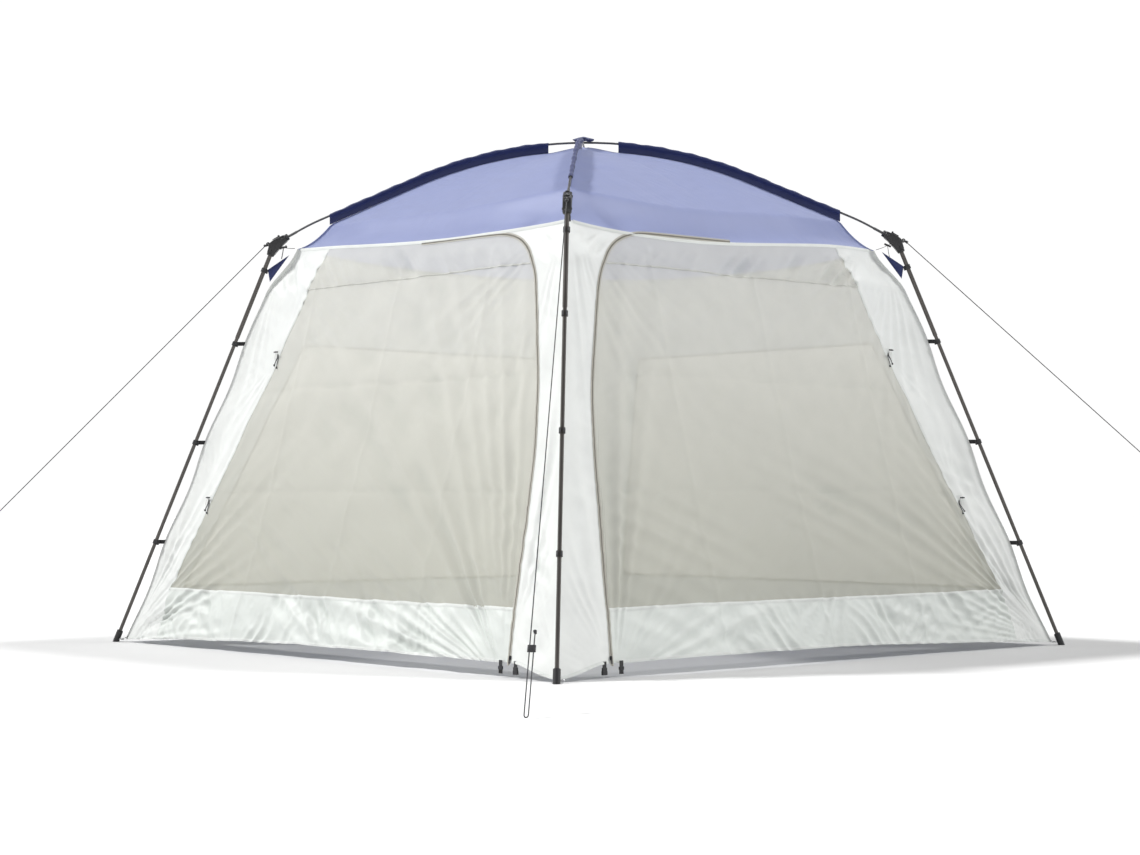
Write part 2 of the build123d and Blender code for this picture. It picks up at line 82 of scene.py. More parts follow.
TOGGLES = {"upper": (-0.805, 1.295), "lower": (-1.066, 0.650)}
CORNERS = {"front": -45.0, "left": 225.0, "right": 45.0, "back": 135.0}
SIDES = ("left", "right")
ROOF_CORNERS = {"front": 1.741, "left": 1.778, "right": 1.757, "back": 1.762}
WALL_CORNERS = {
    "left": ("left", "front"),
    "right": ("right", "front"),
    "rear_left": ("back", "left"),
    "rear_right": ("right", "back"),
}
ROOF_SAG = {
    "left": (0.034, 0.018),
    "right": (0.037, 0.050),
    "rear_left": (0.034, 0.0),
    "rear_right": (0.034, 0.0),
}
CORNER_HALF = 0.923
SEEDS = {"left": 11, "right": 23, "rear_left": 37, "rear_right": 41}

# How the cloth folds: each pull is a point, its reach, its number of folds and their depth
FOLD_DEPTH = 1.45
# Painted shade in the hollows of the folds: the fold depth where it is full, and how far it darkens the
# colour
FOLD_SHADE_FULL_DEPTH = 0.012
PAINTED_FOLD_SHADE_AMOUNT = 0.40
CALM_PAST_ZIP = 0.65
WALL_PULLS = [
    ((-1.47, 0.0), 0.28, 13, 0.0130),
    ((1.47, 0.0), 0.24, 9, 0.0040),
    ((-0.97, 1.78), 0.28, 10, 0.0080),
    ((0.97, 1.76), 0.30, 10, 0.0080),
]
DOOR_PULLS = [
    ((1.185, -0.02), 0.52, 11, 0.0210),
    ((-1.23, 0.20), 0.28, 7, 0.0060),
    (TOGGLES["upper"], 0.14, 6, 0.0025),
    (TOGGLES["lower"], 0.14, 6, 0.0025),
]
LEVEL_CREASES = (0.68, 1.13)
UPRIGHT_CREASES = (-0.62, -0.02, 0.58)


# ---------------------------------------------------------------- places


def to_wall(wall, x, y, z):
    """A place worked out on the -Y wall, where it is on the named wall."""
    if wall == "right":
        return -y, -x, z
    if wall == "rear_left":
        return y, -x, z
    if wall == "rear_right":
        return -x, -y, z
    return x, y, z


def turned(point, angle):
    """A point of the corner drawing (outwards, across, up) turned to its corner."""
    return Matrix.Rotation(math.radians(angle), 3, "Z") @ Vector(point)


def smooth(x, low, high):
    """0 below low, 1 above high, and a smooth step between."""
    t = np.clip((np.asarray(x, float) - low) / (high - low), 0, 1)
    return t * t * (3 - 2 * t)


def waves(u, h, seed, angle, spread, length, count=6):
    """Ripples across angle (degrees), from plane waves of about one length, between -1 and 1."""
    rng = np.random.default_rng(seed)
    total = 0.0
    for _ in range(count):
        a = math.radians(angle + rng.uniform(-spread, spread))
        k = 2 * math.pi / (length * rng.uniform(0.65, 1.5))
        total = total + np.sin(k * (u * math.cos(a) + h * math.sin(a)) + rng.uniform(0, 2 * math.pi))
    return total / (0.75 * count)


def creased(w):
    """Rounded ripples made into cloth folds: broad hollows between narrow ridges."""
    return 0.5 - np.sqrt(w * w + 0.04)


def fan(u, h, at, reach, folds, seed):
    """Folds that spread like rays from a point that pulls on the cloth."""
    du, dh = u - at[0], h - at[1]
    far = np.hypot(du, dh)
    turn = np.arctan2(dh, du)
    rays = waves(turn * folds, far * 1.5, seed, 0, 12, 2.4)
    return creased(rays) * (far / reach) * np.exp(1 - far / reach) * smooth(far, 0.04, 0.20)


# ---------------------------------------------------------------- walls


def zip_pieces():
    """The zip's path as stretches: start, direction there, length, and radius (0 where straight)."""
    points = [Vector(p) for p in ZIP_CORNERS]
    pieces, start = [], points[0]
    for i, bend in enumerate(ZIP_BENDS, 1):
        before = (points[i] - points[i - 1]).normalized()
        after = (points[i + 1] - points[i]).normalized()
        turn = before.angle(after)
        cut = bend * math.tan(turn / 2)
        bend_start = points[i] - before * cut
        pieces.append((start, before, (bend_start - start).length, 0.0))
        pieces.append((bend_start, before, bend * turn, bend))
        start = points[i] + after * cut
    last = points[-1] - start
    pieces.append((start, last.normalized(), last.length, 0.0))
    return pieces


ZIP_PIECES = zip_pieces()
ZIP_LENGTH = sum(piece[2] for piece in ZIP_PIECES)


def zip_point(t, gap=0.0):
    """The zip's path on the wall, t from its bottom (0) to its top end (1), moved sideways by gap."""
    left = float(t) * ZIP_LENGTH
    for piece in ZIP_PIECES:
        if left <= piece[2] or piece is ZIP_PIECES[-1]:
            break
        left -= piece[2]
    at, along, _, bend = piece
    if bend:
        turn = left / bend
        side = Vector((-along.y, along.x))
        at = at + along * bend * math.sin(turn) + side * bend * (1 - math.cos(turn))
        along = along * math.cos(turn) + side * math.sin(turn)
    else:
        at = at + along * left
    at = at + Vector((along.y, -along.x)) * gap
    return at.x, at.y


ZIP_STEPS = 220
ZIP_LINE = np.array([zip_point(i / ZIP_STEPS) for i in range(ZIP_STEPS + 1)])


def tuck(h):
    """How far the cloth's corner edges are pulled in from the corners of the wall planes."""
    return 0.048 * smooth(h, 1.56, 1.74)


def corner_edge(h):
    """Distance along a wall to its corner edge."""
    h = np.asarray(h, float)
    return WALL_HALF - h * SLOPE - tuck(h)


def mesh_edge(h):
    """Distance along a wall to the outer edge of its mesh."""
    share = np.clip((np.asarray(h, float) - SKIRT) / (ROOF_EDGE - SKIRT), 0, 1)
    return MESH_BOTTOM + (MESH_TOP - MESH_BOTTOM) * share


def roof_edge(wall, u):
    """Height of the seam between a wall and the roof, which sags between the roof's corners."""
    low, high = (ROOF_CORNERS[c] for c in WALL_CORNERS[wall])
    t = np.clip(np.asarray(u, float) / CORNER_HALF, -1, 1)
    even, odd = ROOF_SAG[wall]
    return low + (high - low) * (t + 1) / 2 - (1 - t * t) * (even + odd * t)


def hem(wall, u):
    """Height of the bottom edge of a wall."""
    u = np.asarray(u, float)
    near = 0.055 - 0.043 * smooth(np.abs(u), 1.20, 1.46)
    if wall not in SIDES:
        return near
    far = 0.055 - 0.043 * np.clip(-u / 1.46, 0, 1) ** 1.6
    return np.where(u > 0, near, far)


def fold_relief(wall, u, h):
    """How far the cloth's folds and packing creases stand out of its plane."""
    u, h = np.asarray(u, float), np.asarray(h, float)
    seed = SEEDS[wall]
    door = wall in SIDES
    edge = corner_edge(h) - np.abs(u)
    inner = smooth(edge, 0.0, 0.10)
    top = smooth(roof_edge(wall, u) - h, 0.0, 0.08)

    low = 1 - smooth(h, SKIRT - 0.04, SKIRT + 0.06)
    patchy = smooth(waves(u, h, seed + 4, 0, 40, 0.6), -0.35, 0.35)
    bent = 0.03 * waves(u, h, seed + 10, 20, 90, 0.30)
    skirt = 0.0120 * creased(waves(u + bent, h, seed + 1, 38, 12, 0.15)) * patchy
    skirt = skirt + 0.0120 * creased(waves(u + bent, h, seed + 2, -30, 12, 0.15)) * (1 - patchy)
    skirt = skirt + 0.0012 * creased(waves(u, h, seed + 8, 0, 90, 0.05))
    away = smooth(u + 1.47, 0.12, 0.45) * (smooth(np.abs(1.185 - u), 0.25, 0.80) if door else 1.0)
    folds = (skirt * away + 0.008 * waves(u, h, seed + 3, 10, 25, 0.34)) * low

    pulls = WALL_PULLS + (DOOR_PULLS if door else [])
    for i, (at, reach, count, size) in enumerate(pulls):
        past_zip = smooth(u - ZIP_FOOT[0], -0.02, 0.04) if i >= len(WALL_PULLS) else 0.0
        folds = folds + size * fan(u, h, at, reach, count, seed + 20 + i) * (1 - CALM_PAST_ZIP * past_zip)

    cloth = 0.0022 * creased(waves(u, h, seed + 5, 62, 20, 0.10))
    cloth = cloth + 0.003 * waves(u, h, seed + 6, -50, 35, 0.3)
    if door:
        long_folds = creased(waves(u, h, seed + 9, 112 if wall == "right" else 63, 9, 0.15))
        cloth = cloth + 0.0100 * long_folds * (1 - smooth(h, 0.25, 1.15))
        band = smooth(h, DOOR_SEAM - 0.02, DOOR_SEAM + 0.03) * top
        cloth = cloth + 0.020 * creased(waves(u, h, seed + 7, 52, 9, 0.12, 5)) * band
        for height in LEVEL_CREASES:
            cloth = cloth - 0.0040 * np.exp(-np.abs(h - height) / 0.012) * smooth(edge, 0.2, 0.4)
        for along in UPRIGHT_CREASES:
            cloth = cloth + 0.0025 * np.exp(-np.abs(u - along) / 0.010)
    else:
        band = smooth(h, REAR_SEAM, REAR_SEAM + 0.08) * top
        cloth = cloth + 0.008 * creased(waves(u, h, seed + 7, 70, 25, 0.16)) * band
    steady = np.ones_like(u)
    if door:
        near = np.full(u.shape, 9.0)
        for a, b in ZIP_LINE[::4]:
            near = np.minimum(near, np.hypot(u - a, h - b))
        steady = 0.30 + 0.70 * smooth(near, 0.0, 0.08)
    return FOLD_DEPTH * (folds + cloth) * inner * steady * top


def relief(wall, u, h):
    """How far the cloth stands out of its plane: its slack and its folds."""
    u, h = np.asarray(u, float), np.asarray(h, float)
    inner = smooth(corner_edge(h) - np.abs(u), 0.0, 0.12)
    slack = -0.016 * np.sin(np.pi * np.clip(h / ROOF_EDGE, 0, 1)) * inner
    slack = slack + 0.005 * waves(u, h, SEEDS[wall], 20, 90, 0.9)
    return slack * smooth(roof_edge(wall, u) - h, 0.0, 0.10) + fold_relief(wall, u, h)


def on_wall(wall, u, h, out=0.0):
    """Places on a wall's cloth as arrays x, y, z, each standing out by a further out."""
    u, h = np.asarray(u, float), np.asarray(h, float)
    stand = relief(wall, u, h) + out
    inward = tuck(h) * smooth(np.abs(u), 0.45, 0.92)
    bow = 0.010 * np.sin(np.pi * np.clip(h / 0.46, 0, 3.4)) ** 2 * smooth(np.abs(u) / corner_edge(h), 0.8, 1)
    x = u - np.sign(u) * bow
    y = -(WALL_HALF - h * SLOPE) + inward + bow - stand * math.cos(LEAN)
    z = h + stand * math.sin(LEAN)
    return to_wall(wall, x, y, z)


# ---------------------------------------------------------------- mesh tools


def finished(obj, material, body=None, smooth_faces=True):
    """Give a new piece its material and the body it rides on."""
    obj.data.materials.append(material)
    if obj.type == "MESH" and smooth_faces:
        obj.data.polygons.foreach_set("use_smooth", [True] * len(obj.data.polygons))
    if body:
        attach(obj, body)
    return obj


def mesh_piece(name, verts, faces, uvs=None):
    """A mesh object, with a UV in metres for each vertex."""
    mesh = bpy.data.meshes.new(name)
    mesh.from_pydata([tuple(map(float, v)) for v in verts], [], faces)
    if uvs is not None:
        layer = mesh.uv_layers.new(name="cloth")
        index = np.empty(len(mesh.loops), int)
        mesh.loops.foreach_get("vertex_index", index)
        layer.data.foreach_set("uv", np.asarray(uvs, float)[index].ravel())
    mesh.update()
    obj = bpy.data.objects.new(name, mesh)
    bpy.context.collection.objects.link(obj)
    return obj


def grid_faces(rows, columns, start=0):
    """The quads of a grid of rows by columns points, numbered row by row."""
    faces = []
    for r in range(rows - 1):
        for c in range(columns - 1):
            a = start + r * columns + c
            faces.append((a, a + 1, a + columns + 1, a + columns))
    return faces


def ring_faces(rings, sides, closed=False):
    """The faces of a skin over rings of points, with flat ends unless it closes on itself."""
    faces = []
    for i in range(rings if closed else rings - 1):
        a, b = i * sides, (i + 1) % rings * sides
        faces += [(a + k, a + (k + 1) % sides, b + (k + 1) % sides, b + k) for k in range(sides)]
    if not closed:
        faces.append(tuple(reversed(range(sides))))
        faces.append(tuple(range((rings - 1) * sides, rings * sides)))
    return faces


def circle(side, other, count):
    """Directions round a circle spanned by two directions."""
    turns = [2 * math.pi * k / count for k in range(count)]
    return [side * math.cos(a) + other * math.sin(a) for a in turns]


def grid_piece(name, place, rows, columns):
    """A sheet from place(s, t) with arrays s along the columns and t along the rows, giving u, h, x, y, z."""
    s, t = np.meshgrid(np.linspace(0, 1, columns), np.linspace(0, 1, rows))
    u, h, x, y, z = place(s.ravel(), t.ravel())
    return mesh_piece(name, np.stack([x, y, z], 1), grid_faces(rows, columns), np.stack([u, h], 1))


def wall_sheet(name, wall, across, rows, columns, out=0.0):
    """A sheet on a wall's cloth: across(s, t) gives u, h."""

    def place(s, t):
        u, h = across(s, t)
        return (u, h, *on_wall(wall, u, h, out))

    piece = grid_piece(name, place, rows, columns)
    s, t = np.meshgrid(np.linspace(0, 1, columns), np.linspace(0, 1, rows))
    # Painted shade: how deep each point lies in a fold's hollow, kept for the cloth material to darken it
    painted_fold_shade = np.clip(-fold_relief(wall, *across(s.ravel(), t.ravel())) / FOLD_SHADE_FULL_DEPTH, 0, 1)
    piece.data.attributes.new("painted_fold_shade", "FLOAT", "POINT").data.foreach_set("value", painted_fold_shade)
    return piece


def joined(name, pieces):
    """Several new mesh objects as one piece."""
    verts, faces, uvs = [], [], []
    for piece in pieces:
        start = len(verts)
        mesh = piece.data
        verts += [v.co.copy() for v in mesh.vertices]
        faces += [tuple(start + i for i in p.vertices) for p in mesh.polygons]
        spot = {}
        if mesh.uv_layers:
            for loop in mesh.loops:
                spot[loop.vertex_index] = tuple(mesh.uv_layers[0].data[loop.index].uv)
        uvs += [spot.get(i, (0, 0)) for i in range(len(mesh.vertices))]
        bpy.data.objects.remove(piece)
    return mesh_piece(name, verts, faces, uvs)


def tube(name, points, radius, sides=10, closed=False):
    """A round tube along points; radius is one number or one for each point."""
    points = [Vector(p) for p in points]
    count = len(points)
    radii = [radius] * count if isinstance(radius, (int, float)) else list(radius)
    verts, uvs, run = [], [], 0.0
    side = None
    for i, p in enumerate(points):
        ahead = points[(i + 1) % count] if closed or i < count - 1 else p
        behind = points[i - 1] if closed or i else p
        along = (ahead - behind).normalized()
        if side is None:
            side = along.orthogonal().normalized()
        side = (side - along * side.dot(along)).normalized()
        other = along.cross(side)
        run += (p - points[i - 1]).length if i else 0.0
        for k, out in enumerate(circle(side, other, sides)):
            verts.append(p + out * radii[i])
            uvs.append((radii[i] * 2 * math.pi * k / sides, run))
    return mesh_piece(name, verts, ring_faces(count, sides, closed), uvs)


def ribbon(name, points, across, width, thick, segments=4):
    """Flat webbing along points: across gives its width's direction at each point."""
    verts, uvs, run = [], [], 0.0
    ring = [(i / segments - 0.5, -0.5) for i in range(segments + 1)]
    ring += [(0.5 - i / segments, 0.5) for i in range(segments + 1)]
    for i, p in enumerate(points):
        ahead = points[min(i + 1, len(points) - 1)]
        behind = points[max(i - 1, 0)]
        along = (ahead - behind).normalized()
        wide = across[i] - along * across[i].dot(along)
        wide.normalize()
        up = along.cross(wide)
        run += (p - points[i - 1]).length if i else 0.0
        for a, b in ring:
            edge = 1 - 0.6 * abs(2 * a) ** 6
            verts.append(p + wide * width * a + up * thick * b * edge)
            uvs.append((width * a, run))
    return mesh_piece(name, verts, ring_faces(len(points), len(ring)), uvs)


def rounded(obj, bevel, segments):
    """The piece with its edges rounded."""
    rounding = obj.modifiers.new("rounding", "BEVEL")
    rounding.width = bevel
    rounding.segments = segments
    apply_modifiers(obj)
    return obj


def block(name, size, place, bevel=0.0008, segments=2):
    """A small moulded block with rounded edges, size in its own axes, set by a matrix."""
    x, y, z = (s / 2 for s in size)
    verts = [(i * x, j * y, k * z) for i in (-1, 1) for j in (-1, 1) for k in (-1, 1)]
    faces = [(0, 1, 3, 2), (4, 6, 7, 5), (0, 4, 5, 1), (2, 3, 7, 6), (0, 2, 6, 4), (1, 5, 7, 3)]
    obj = rounded(mesh_piece(name, verts, faces), bevel, segments)
    obj.data.transform(place)
    return obj


def apply_modifiers(obj):
    """Keep the mesh as its modifiers make it, and drop them."""
    bpy.context.view_layer.update()
    made = bpy.data.meshes.new_from_object(obj.evaluated_get(bpy.context.evaluated_depsgraph_get()))
    obj.modifiers.clear()
    obj.data = made


# ---------------------------------------------------------------- materials


def node_material(name):
    """A material with an output, its node tree and its links."""
    material = bpy.data.materials.new(name)
    material.use_nodes = True
    tree = material.node_tree
    tree.nodes.clear()
    output = tree.nodes.new("ShaderNodeOutputMaterial")
    return material, tree, output


def add_node(tree, kind, **settings):
    """A node with its inputs or properties set by name."""
    node = tree.nodes.new(kind)
    for key, value in settings.items():
        if key in node.inputs:
            node.inputs[key].default_value = value
        else:
            setattr(node, key, value)
    return node


def noise_colour(tree, coords, colour, scale, amount, stretch=(1, 1, 1)):
    """The colour made a little lighter and darker by noise."""
    mapping = add_node(tree, "ShaderNodeMapping")
    mapping.inputs["Scale"].default_value = stretch
    tree.links.new(coords, mapping.inputs["Vector"])
    noise = add_node(tree, "ShaderNodeTexNoise", Scale=scale, Detail=4.0)
    tree.links.new(mapping.outputs["Vector"], noise.inputs["Vector"])
    ramp = add_node(tree, "ShaderNodeValToRGB")
    ramp.color_ramp.elements[0].position = 0.3
    ramp.color_ramp.elements[1].position = 0.7
    ramp.color_ramp.elements[0].color = [c * (1 - amount) for c in colour] + [1]
    ramp.color_ramp.elements[1].color = [min(1, c * (1 + amount)) for c in colour] + [1]
    tree.links.new(noise.outputs["Fac"], ramp.inputs["Fac"])
    return ramp.outputs["Color"], noise.outputs["Fac"]


def mixed_colour(tree, share, colour, other):
    """A colour blended towards a fixed one by a share."""
    mix = tree.nodes.new("ShaderNodeMix")
    mix.data_type = "RGBA"
    tree.links.new(share, mix.inputs[0])
    tree.links.new(colour, mix.inputs[6])
    mix.inputs[7].default_value = (*other, 1)
    return mix.outputs[2]


def weave_height(tree, coords, pitch):
    """The height of a plain weave: two sets of threads at right angles."""
    waves_made = []
    for direction in ("X", "Y"):
        thread = add_node(tree, "ShaderNodeTexWave", Scale=0.314 / pitch)
        thread.bands_direction = direction
        thread.inputs["Distortion"].default_value = 0.4
        tree.links.new(coords, thread.inputs["Vector"])
        waves_made.append(thread.outputs["Fac"])
    mix = add_node(tree, "ShaderNodeMath", operation="MULTIPLY")
    tree.links.new(waves_made[0], mix.inputs[0])
    tree.links.new(waves_made[1], mix.inputs[1])
    return mix.outputs[0]


def mixed_shader(tree, share, first, second):
    """Two shaders mixed, with a fixed share of the second."""
    mix = add_node(tree, "ShaderNodeMixShader")
    mix.inputs[0].default_value = share
    tree.links.new(first, mix.inputs[1])
    tree.links.new(second, mix.inputs[2])
    return mix.outputs[0]


def mapped(tree, value, source, target=(0.0, 1.0)):
    """A map range node that takes the source range to the target range."""
    node = add_node(tree, "ShaderNodeMapRange")
    node.inputs["From Min"].default_value, node.inputs["From Max"].default_value = source
    node.inputs["To Min"].default_value, node.inputs["To Max"].default_value = target
    tree.links.new(value, node.inputs["Value"])
    return node


def cloth(
    name,
    colour,
    pitch=0.0009,
    through=0.35,
    through_colour=None,
    roughness=0.55,
    sheen=0.3,
    clear=0.0,
    low=None,
):
    """Woven cloth that lets light through.

    clear is the share of it that is holes, and low its colour near the ground, a painted shade that darkens
    it downwards.
    """
    material, tree, output = node_material(name)
    coords = add_node(tree, "ShaderNodeTexCoord").outputs["UV"]
    shade, _ = noise_colour(tree, coords, colour, 9.0, 0.035)
    # Painted shade: below about 1.35 m the colour fades towards low, darkest from 0.30 m down
    if low:
        parts = tree.nodes.new("ShaderNodeSeparateXYZ")
        tree.links.new(coords, parts.inputs[0])
        shade_towards_ground = mapped(tree, parts.outputs["Y"], (1.35, 0.30))
        shade = mixed_colour(tree, shade_towards_ground.outputs["Result"], shade, low)
    # Painted shade: the colour is darkened towards a greenish dark in the hollows of the folds
    fold_shade_input = add_node(tree, "ShaderNodeAttribute", attribute_name="painted_fold_shade")
    depth = add_node(tree, "ShaderNodeMath", operation="MULTIPLY")
    depth.inputs[1].default_value = PAINTED_FOLD_SHADE_AMOUNT
    tree.links.new(fold_shade_input.outputs["Fac"], depth.inputs[0])
    fold_shade_colour = [c * share for c, share in zip(colour, (0.52, 0.56, 0.53))]
    shade = mixed_colour(tree, depth.outputs[0], shade, fold_shade_colour)
    weave = weave_height(tree, coords, pitch)
    crumple = add_node(tree, "ShaderNodeTexNoise", Scale=34.0, Detail=5.0)
    tree.links.new(coords, crumple.inputs["Vector"])
    height = add_node(tree, "ShaderNodeMath", operation="MULTIPLY_ADD")
    height.inputs[1].default_value = 0.10
    tree.links.new(weave, height.inputs[0])
    tree.links.new(crumple.outputs["Fac"], height.inputs[2])
    bump = add_node(tree, "ShaderNodeBump", Strength=0.22, Distance=0.004)
    tree.links.new(height.outputs[0], bump.inputs["Height"])
    front = add_node(tree, "ShaderNodeBsdfPrincipled", Roughness=roughness)
    front.inputs["Sheen Weight"].default_value = sheen
    front.inputs["Specular IOR Level"].default_value = 0.4
    tree.links.new(shade, front.inputs["Base Color"])
    tree.links.new(bump.outputs["Normal"], front.inputs["Normal"])
    last = front.outputs[0]
    if through:
        behind = add_node(tree, "ShaderNodeBsdfTranslucent")
        behind.inputs["Color"].default_value = (*(through_colour or colour), 1)
        last = mixed_shader(tree, through, last, behind.outputs[0])
    if clear:
        holes = add_node(tree, "ShaderNodeBsdfTransparent")
        last = mixed_shader(tree, clear, last, holes.outputs[0])
    tree.links.new(last, output.inputs["Surface"])
    return material


def solid(name, colour, roughness=0.5, metallic=0.0, grain=180.0, stretch=(1, 1, 1), coat=0.0):
    """Plastic, paint or metal with a fine grain and slightly uneven gloss."""
    material, tree, output = node_material(name)
    coords = add_node(tree, "ShaderNodeTexCoord").outputs["Object"]
    shade, fac = noise_colour(tree, coords, colour, grain / 6, 0.12, stretch)
    surface = add_node(tree, "ShaderNodeBsdfPrincipled")
    surface.inputs["Metallic"].default_value = metallic
    surface.inputs["Coat Weight"].default_value = coat
    tree.links.new(shade, surface.inputs["Base Color"])
    gloss = (max(0.05, roughness - 0.08), min(1.0, roughness + 0.10))
    rough = mapped(tree, fac, (0.0, 1.0), gloss)
    tree.links.new(rough.outputs["Result"], surface.inputs["Roughness"])
    fine = add_node(tree, "ShaderNodeTexNoise", Scale=grain * 6, Detail=3.0)
    tree.links.new(coords, fine.inputs["Vector"])
    bump = add_node(tree, "ShaderNodeBump", Strength=0.5, Distance=0.00025)
    tree.links.new(fine.outputs["Fac"], bump.inputs["Height"])
    tree.links.new(bump.outputs["Normal"], surface.inputs["Normal"])
    tree.links.new(surface.outputs[0], output.inputs["Surface"])
    return material


BLUE, BLUE_THROUGH = (0.24, 0.28, 0.505), (0.30, 0.35, 0.62)
ROOF = cloth("roof_cloth", BLUE, through=0.36, through_colour=BLUE_THROUGH, roughness=0.46)
NAVY = cloth("navy_cloth", (0.018, 0.028, 0.115), through=0.10, roughness=0.5, sheen=0.12)
WHITE = cloth("wall_cloth", (0.75, 0.765, 0.745), through=0.20, roughness=0.50, sheen=0.1)
# The mesh's low colour is painted shade, darker towards the ground
NET, NET_SHADED_LOW = (0.64, 0.635, 0.57), (0.42, 0.42, 0.35)
MESH = cloth("mesh_cloth", NET, pitch=0.0016, through=0.20, roughness=0.75, clear=0.26, low=NET_SHADED_LOW)
SKIRT_CLOTH = cloth("skirt_cloth", (0.64, 0.67, 0.64), through=0.15, roughness=0.48, sheen=0.1)
SEAM_TAPE = cloth("seam_tape", (0.50, 0.50, 0.46), pitch=0.0012, through=0.1, roughness=0.7)
BINDING = cloth("binding_cloth", (0.66, 0.68, 0.66), pitch=0.0012, through=0.1, roughness=0.7)
ZIP_TAPE = cloth("zip_tape", (0.40, 0.385, 0.34), pitch=0.0007, through=0.05, roughness=0.8)
COIL = solid("zip_coil", (0.22, 0.21, 0.18), roughness=0.4)
ZIP_METAL = solid("zip_metal", (0.05, 0.05, 0.052), roughness=0.35, metallic=0.6)
WEBBING = cloth("black_webbing", (0.014, 0.014, 0.016), pitch=0.0018, through=0.0, roughness=0.75)
LOOP = cloth("white_elastic", (0.72, 0.72, 0.70), pitch=0.0012, through=0.0, roughness=0.7)
PLASTIC = solid("black_plastic", (0.017, 0.017, 0.019), roughness=0.42)
LEG = solid("leg_paint", (0.100, 0.092, 0.086), roughness=0.30, metallic=0.6, grain=90, stretch=(1, 1, 0.05))
ROD = solid("fibreglass", (0.055, 0.055, 0.058), roughness=0.38, coat=0.3, grain=120, stretch=(0.3, 0.3, 0.3))
FERRULE = solid("ferrule_metal", (0.52, 0.52, 0.53), roughness=0.3, metallic=1.0, grain=140)
CORD = cloth("guy_cord", (0.020, 0.020, 0.024), pitch=0.0016, through=0.0, roughness=0.8)
THREAD = solid("thread", (0.74, 0.75, 0.73), roughness=0.8)


# ---------------------------------------------------------------- camera and light

CAMERA_PLACE = (7.240, -6.621, 0.662)
CAMERA_AZIMUTH = 47.91
CAMERA_PITCH = 1.78
LENS = 68.93
KEY, FILL, BACK = 3.9, 2.4, 0.4
ROOM, CEILING = 1.02, 0.06


def make_camera():
    """A camera near the ground, well in front of the front corner."""
    data = bpy.data.cameras.new("camera")
    data.lens = LENS
    data.sensor_width = 36.0
    camera = bpy.data.objects.new("camera", data)
    camera.location = CAMERA_PLACE
    camera.rotation_euler = (math.radians(90 + CAMERA_PITCH), 0, math.radians(CAMERA_AZIMUTH))
    bpy.context.collection.objects.link(camera)
    bpy.context.scene.camera = camera


def sun(name, towards, strength, spread):
    """A soft lamp far away; towards points from the shelter to the lamp."""
    data = bpy.data.lights.new(name, "SUN")
    data.energy = strength
    data.angle = math.radians(spread)
    lamp = bpy.data.objects.new(name, data)
    lamp.location = Vector(towards) * 10
    lamp.rotation_euler = Vector(towards).to_track_quat("Z", "Y").to_euler()
    bpy.context.collection.objects.link(lamp)


def make_light():
    """Soft suns from the left, the right and behind, and a room that is bright at eye level."""
    sun("key", (-0.50, -0.42, 0.757), KEY, 7)
    sun("fill", (0.40, 0.52, 0.755), FILL, 9)
    sun("back", (-0.30, 0.30, 0.90), BACK, 14)
    world = bpy.data.worlds.new("studio")
    world.use_nodes = True
    tree = world.node_tree
    coords = tree.nodes.new("ShaderNodeTexCoord")
    parts = tree.nodes.new("ShaderNodeSeparateXYZ")
    tree.links.new(coords.outputs["Generated"], parts.inputs[0])
    ramp = mapped(tree, parts.outputs["Z"], (0.26, 0.60), (ROOM, CEILING))
    ramp.interpolation_type = "SMOOTHSTEP"
    background = tree.nodes["Background"]
    background.inputs["Color"].default_value = (1.0, 1.0, 1.0, 1)
    tree.links.new(ramp.outputs["Result"], background.inputs["Strength"])
    bpy.context.scene.world = world
    bpy.context.scene.view_settings.view_transform = "Standard"


def make_floor():
    """A wide pale floor, round so that its edge is the horizon from every side."""
    rings, spokes = 12, 96
    verts = [(0.0, 0.0, 0.0)]
    for ring in range(1, rings + 1):
        reach = 60.0 * (ring / rings) ** 2
        for k in range(spokes):
            a = 2 * math.pi * k / spokes
            verts.append((reach * math.cos(a), reach * math.sin(a), 0.0))
    faces = [(0, 1 + k, 1 + (k + 1) % spokes) for k in range(spokes)]
    for ring in range(rings - 1):
        a, b = 1 + ring * spokes, 1 + (ring + 1) * spokes
        faces += [(a + k, b + k, b + (k + 1) % spokes, a + (k + 1) % spokes) for k in range(spokes)]
    floor = mesh_piece("floor", verts, faces)
    floor.location.z = -0.001
    floor.data.materials.append(solid("floor_paint", (0.60, 0.60, 0.60), roughness=0.95, grain=0.5))


make_camera()
make_light()
make_floor()

# ---------------------------------------------------------------- guy lines

CORD_DIAMETER = 0.004
STRAND_GAP = 0.013
RETURN_LENGTH = 0.345
GUY_START = Vector((1.44402, 0.0, 1.79659))
GUY_REACH = {"front": 3.332, "left": 3.250, "right": 3.400, "back": 3.300}
GUY_SIDE = {"front": -0.028, "left": 0.0, "right": 0.0, "back": 0.0}
NEAR_BEND = 0.024


def guy_points(corner):
    """The corners of a guy line's route, from the hub's eye to the ground and back up."""
    ground = Vector((GUY_REACH[corner], GUY_SIDE[corner], CORD_DIAMETER / 2 + 0.003))
    down = (ground - GUY_START).normalized()
    across = Vector((-down.y, down.x, 0.0)).normalized() * STRAND_GAP
    end = ground + across - down * RETURN_LENGTH
    before, after = ground - down * NEAR_BEND, ground + across - down * NEAR_BEND
    return [GUY_START, before, ground, ground + across, after, end]


def knot(name, at, along, size):
    """A small overhand knot: a tight double loop of cord."""
    side = along.orthogonal().normalized()
    other = along.cross(side)
    points = []
    for i in range(29):
        a = 2 * math.pi * i / 14
        reach = size * (0.55 + 0.18 * math.sin(a * 1.5))
        drift = (i / 28 - 0.5) * size * 1.5
        points.append(at + side * reach * math.cos(a) + other * reach * math.sin(a) + along * drift)
    return tube(name, points, size * 0.42, sides=8)


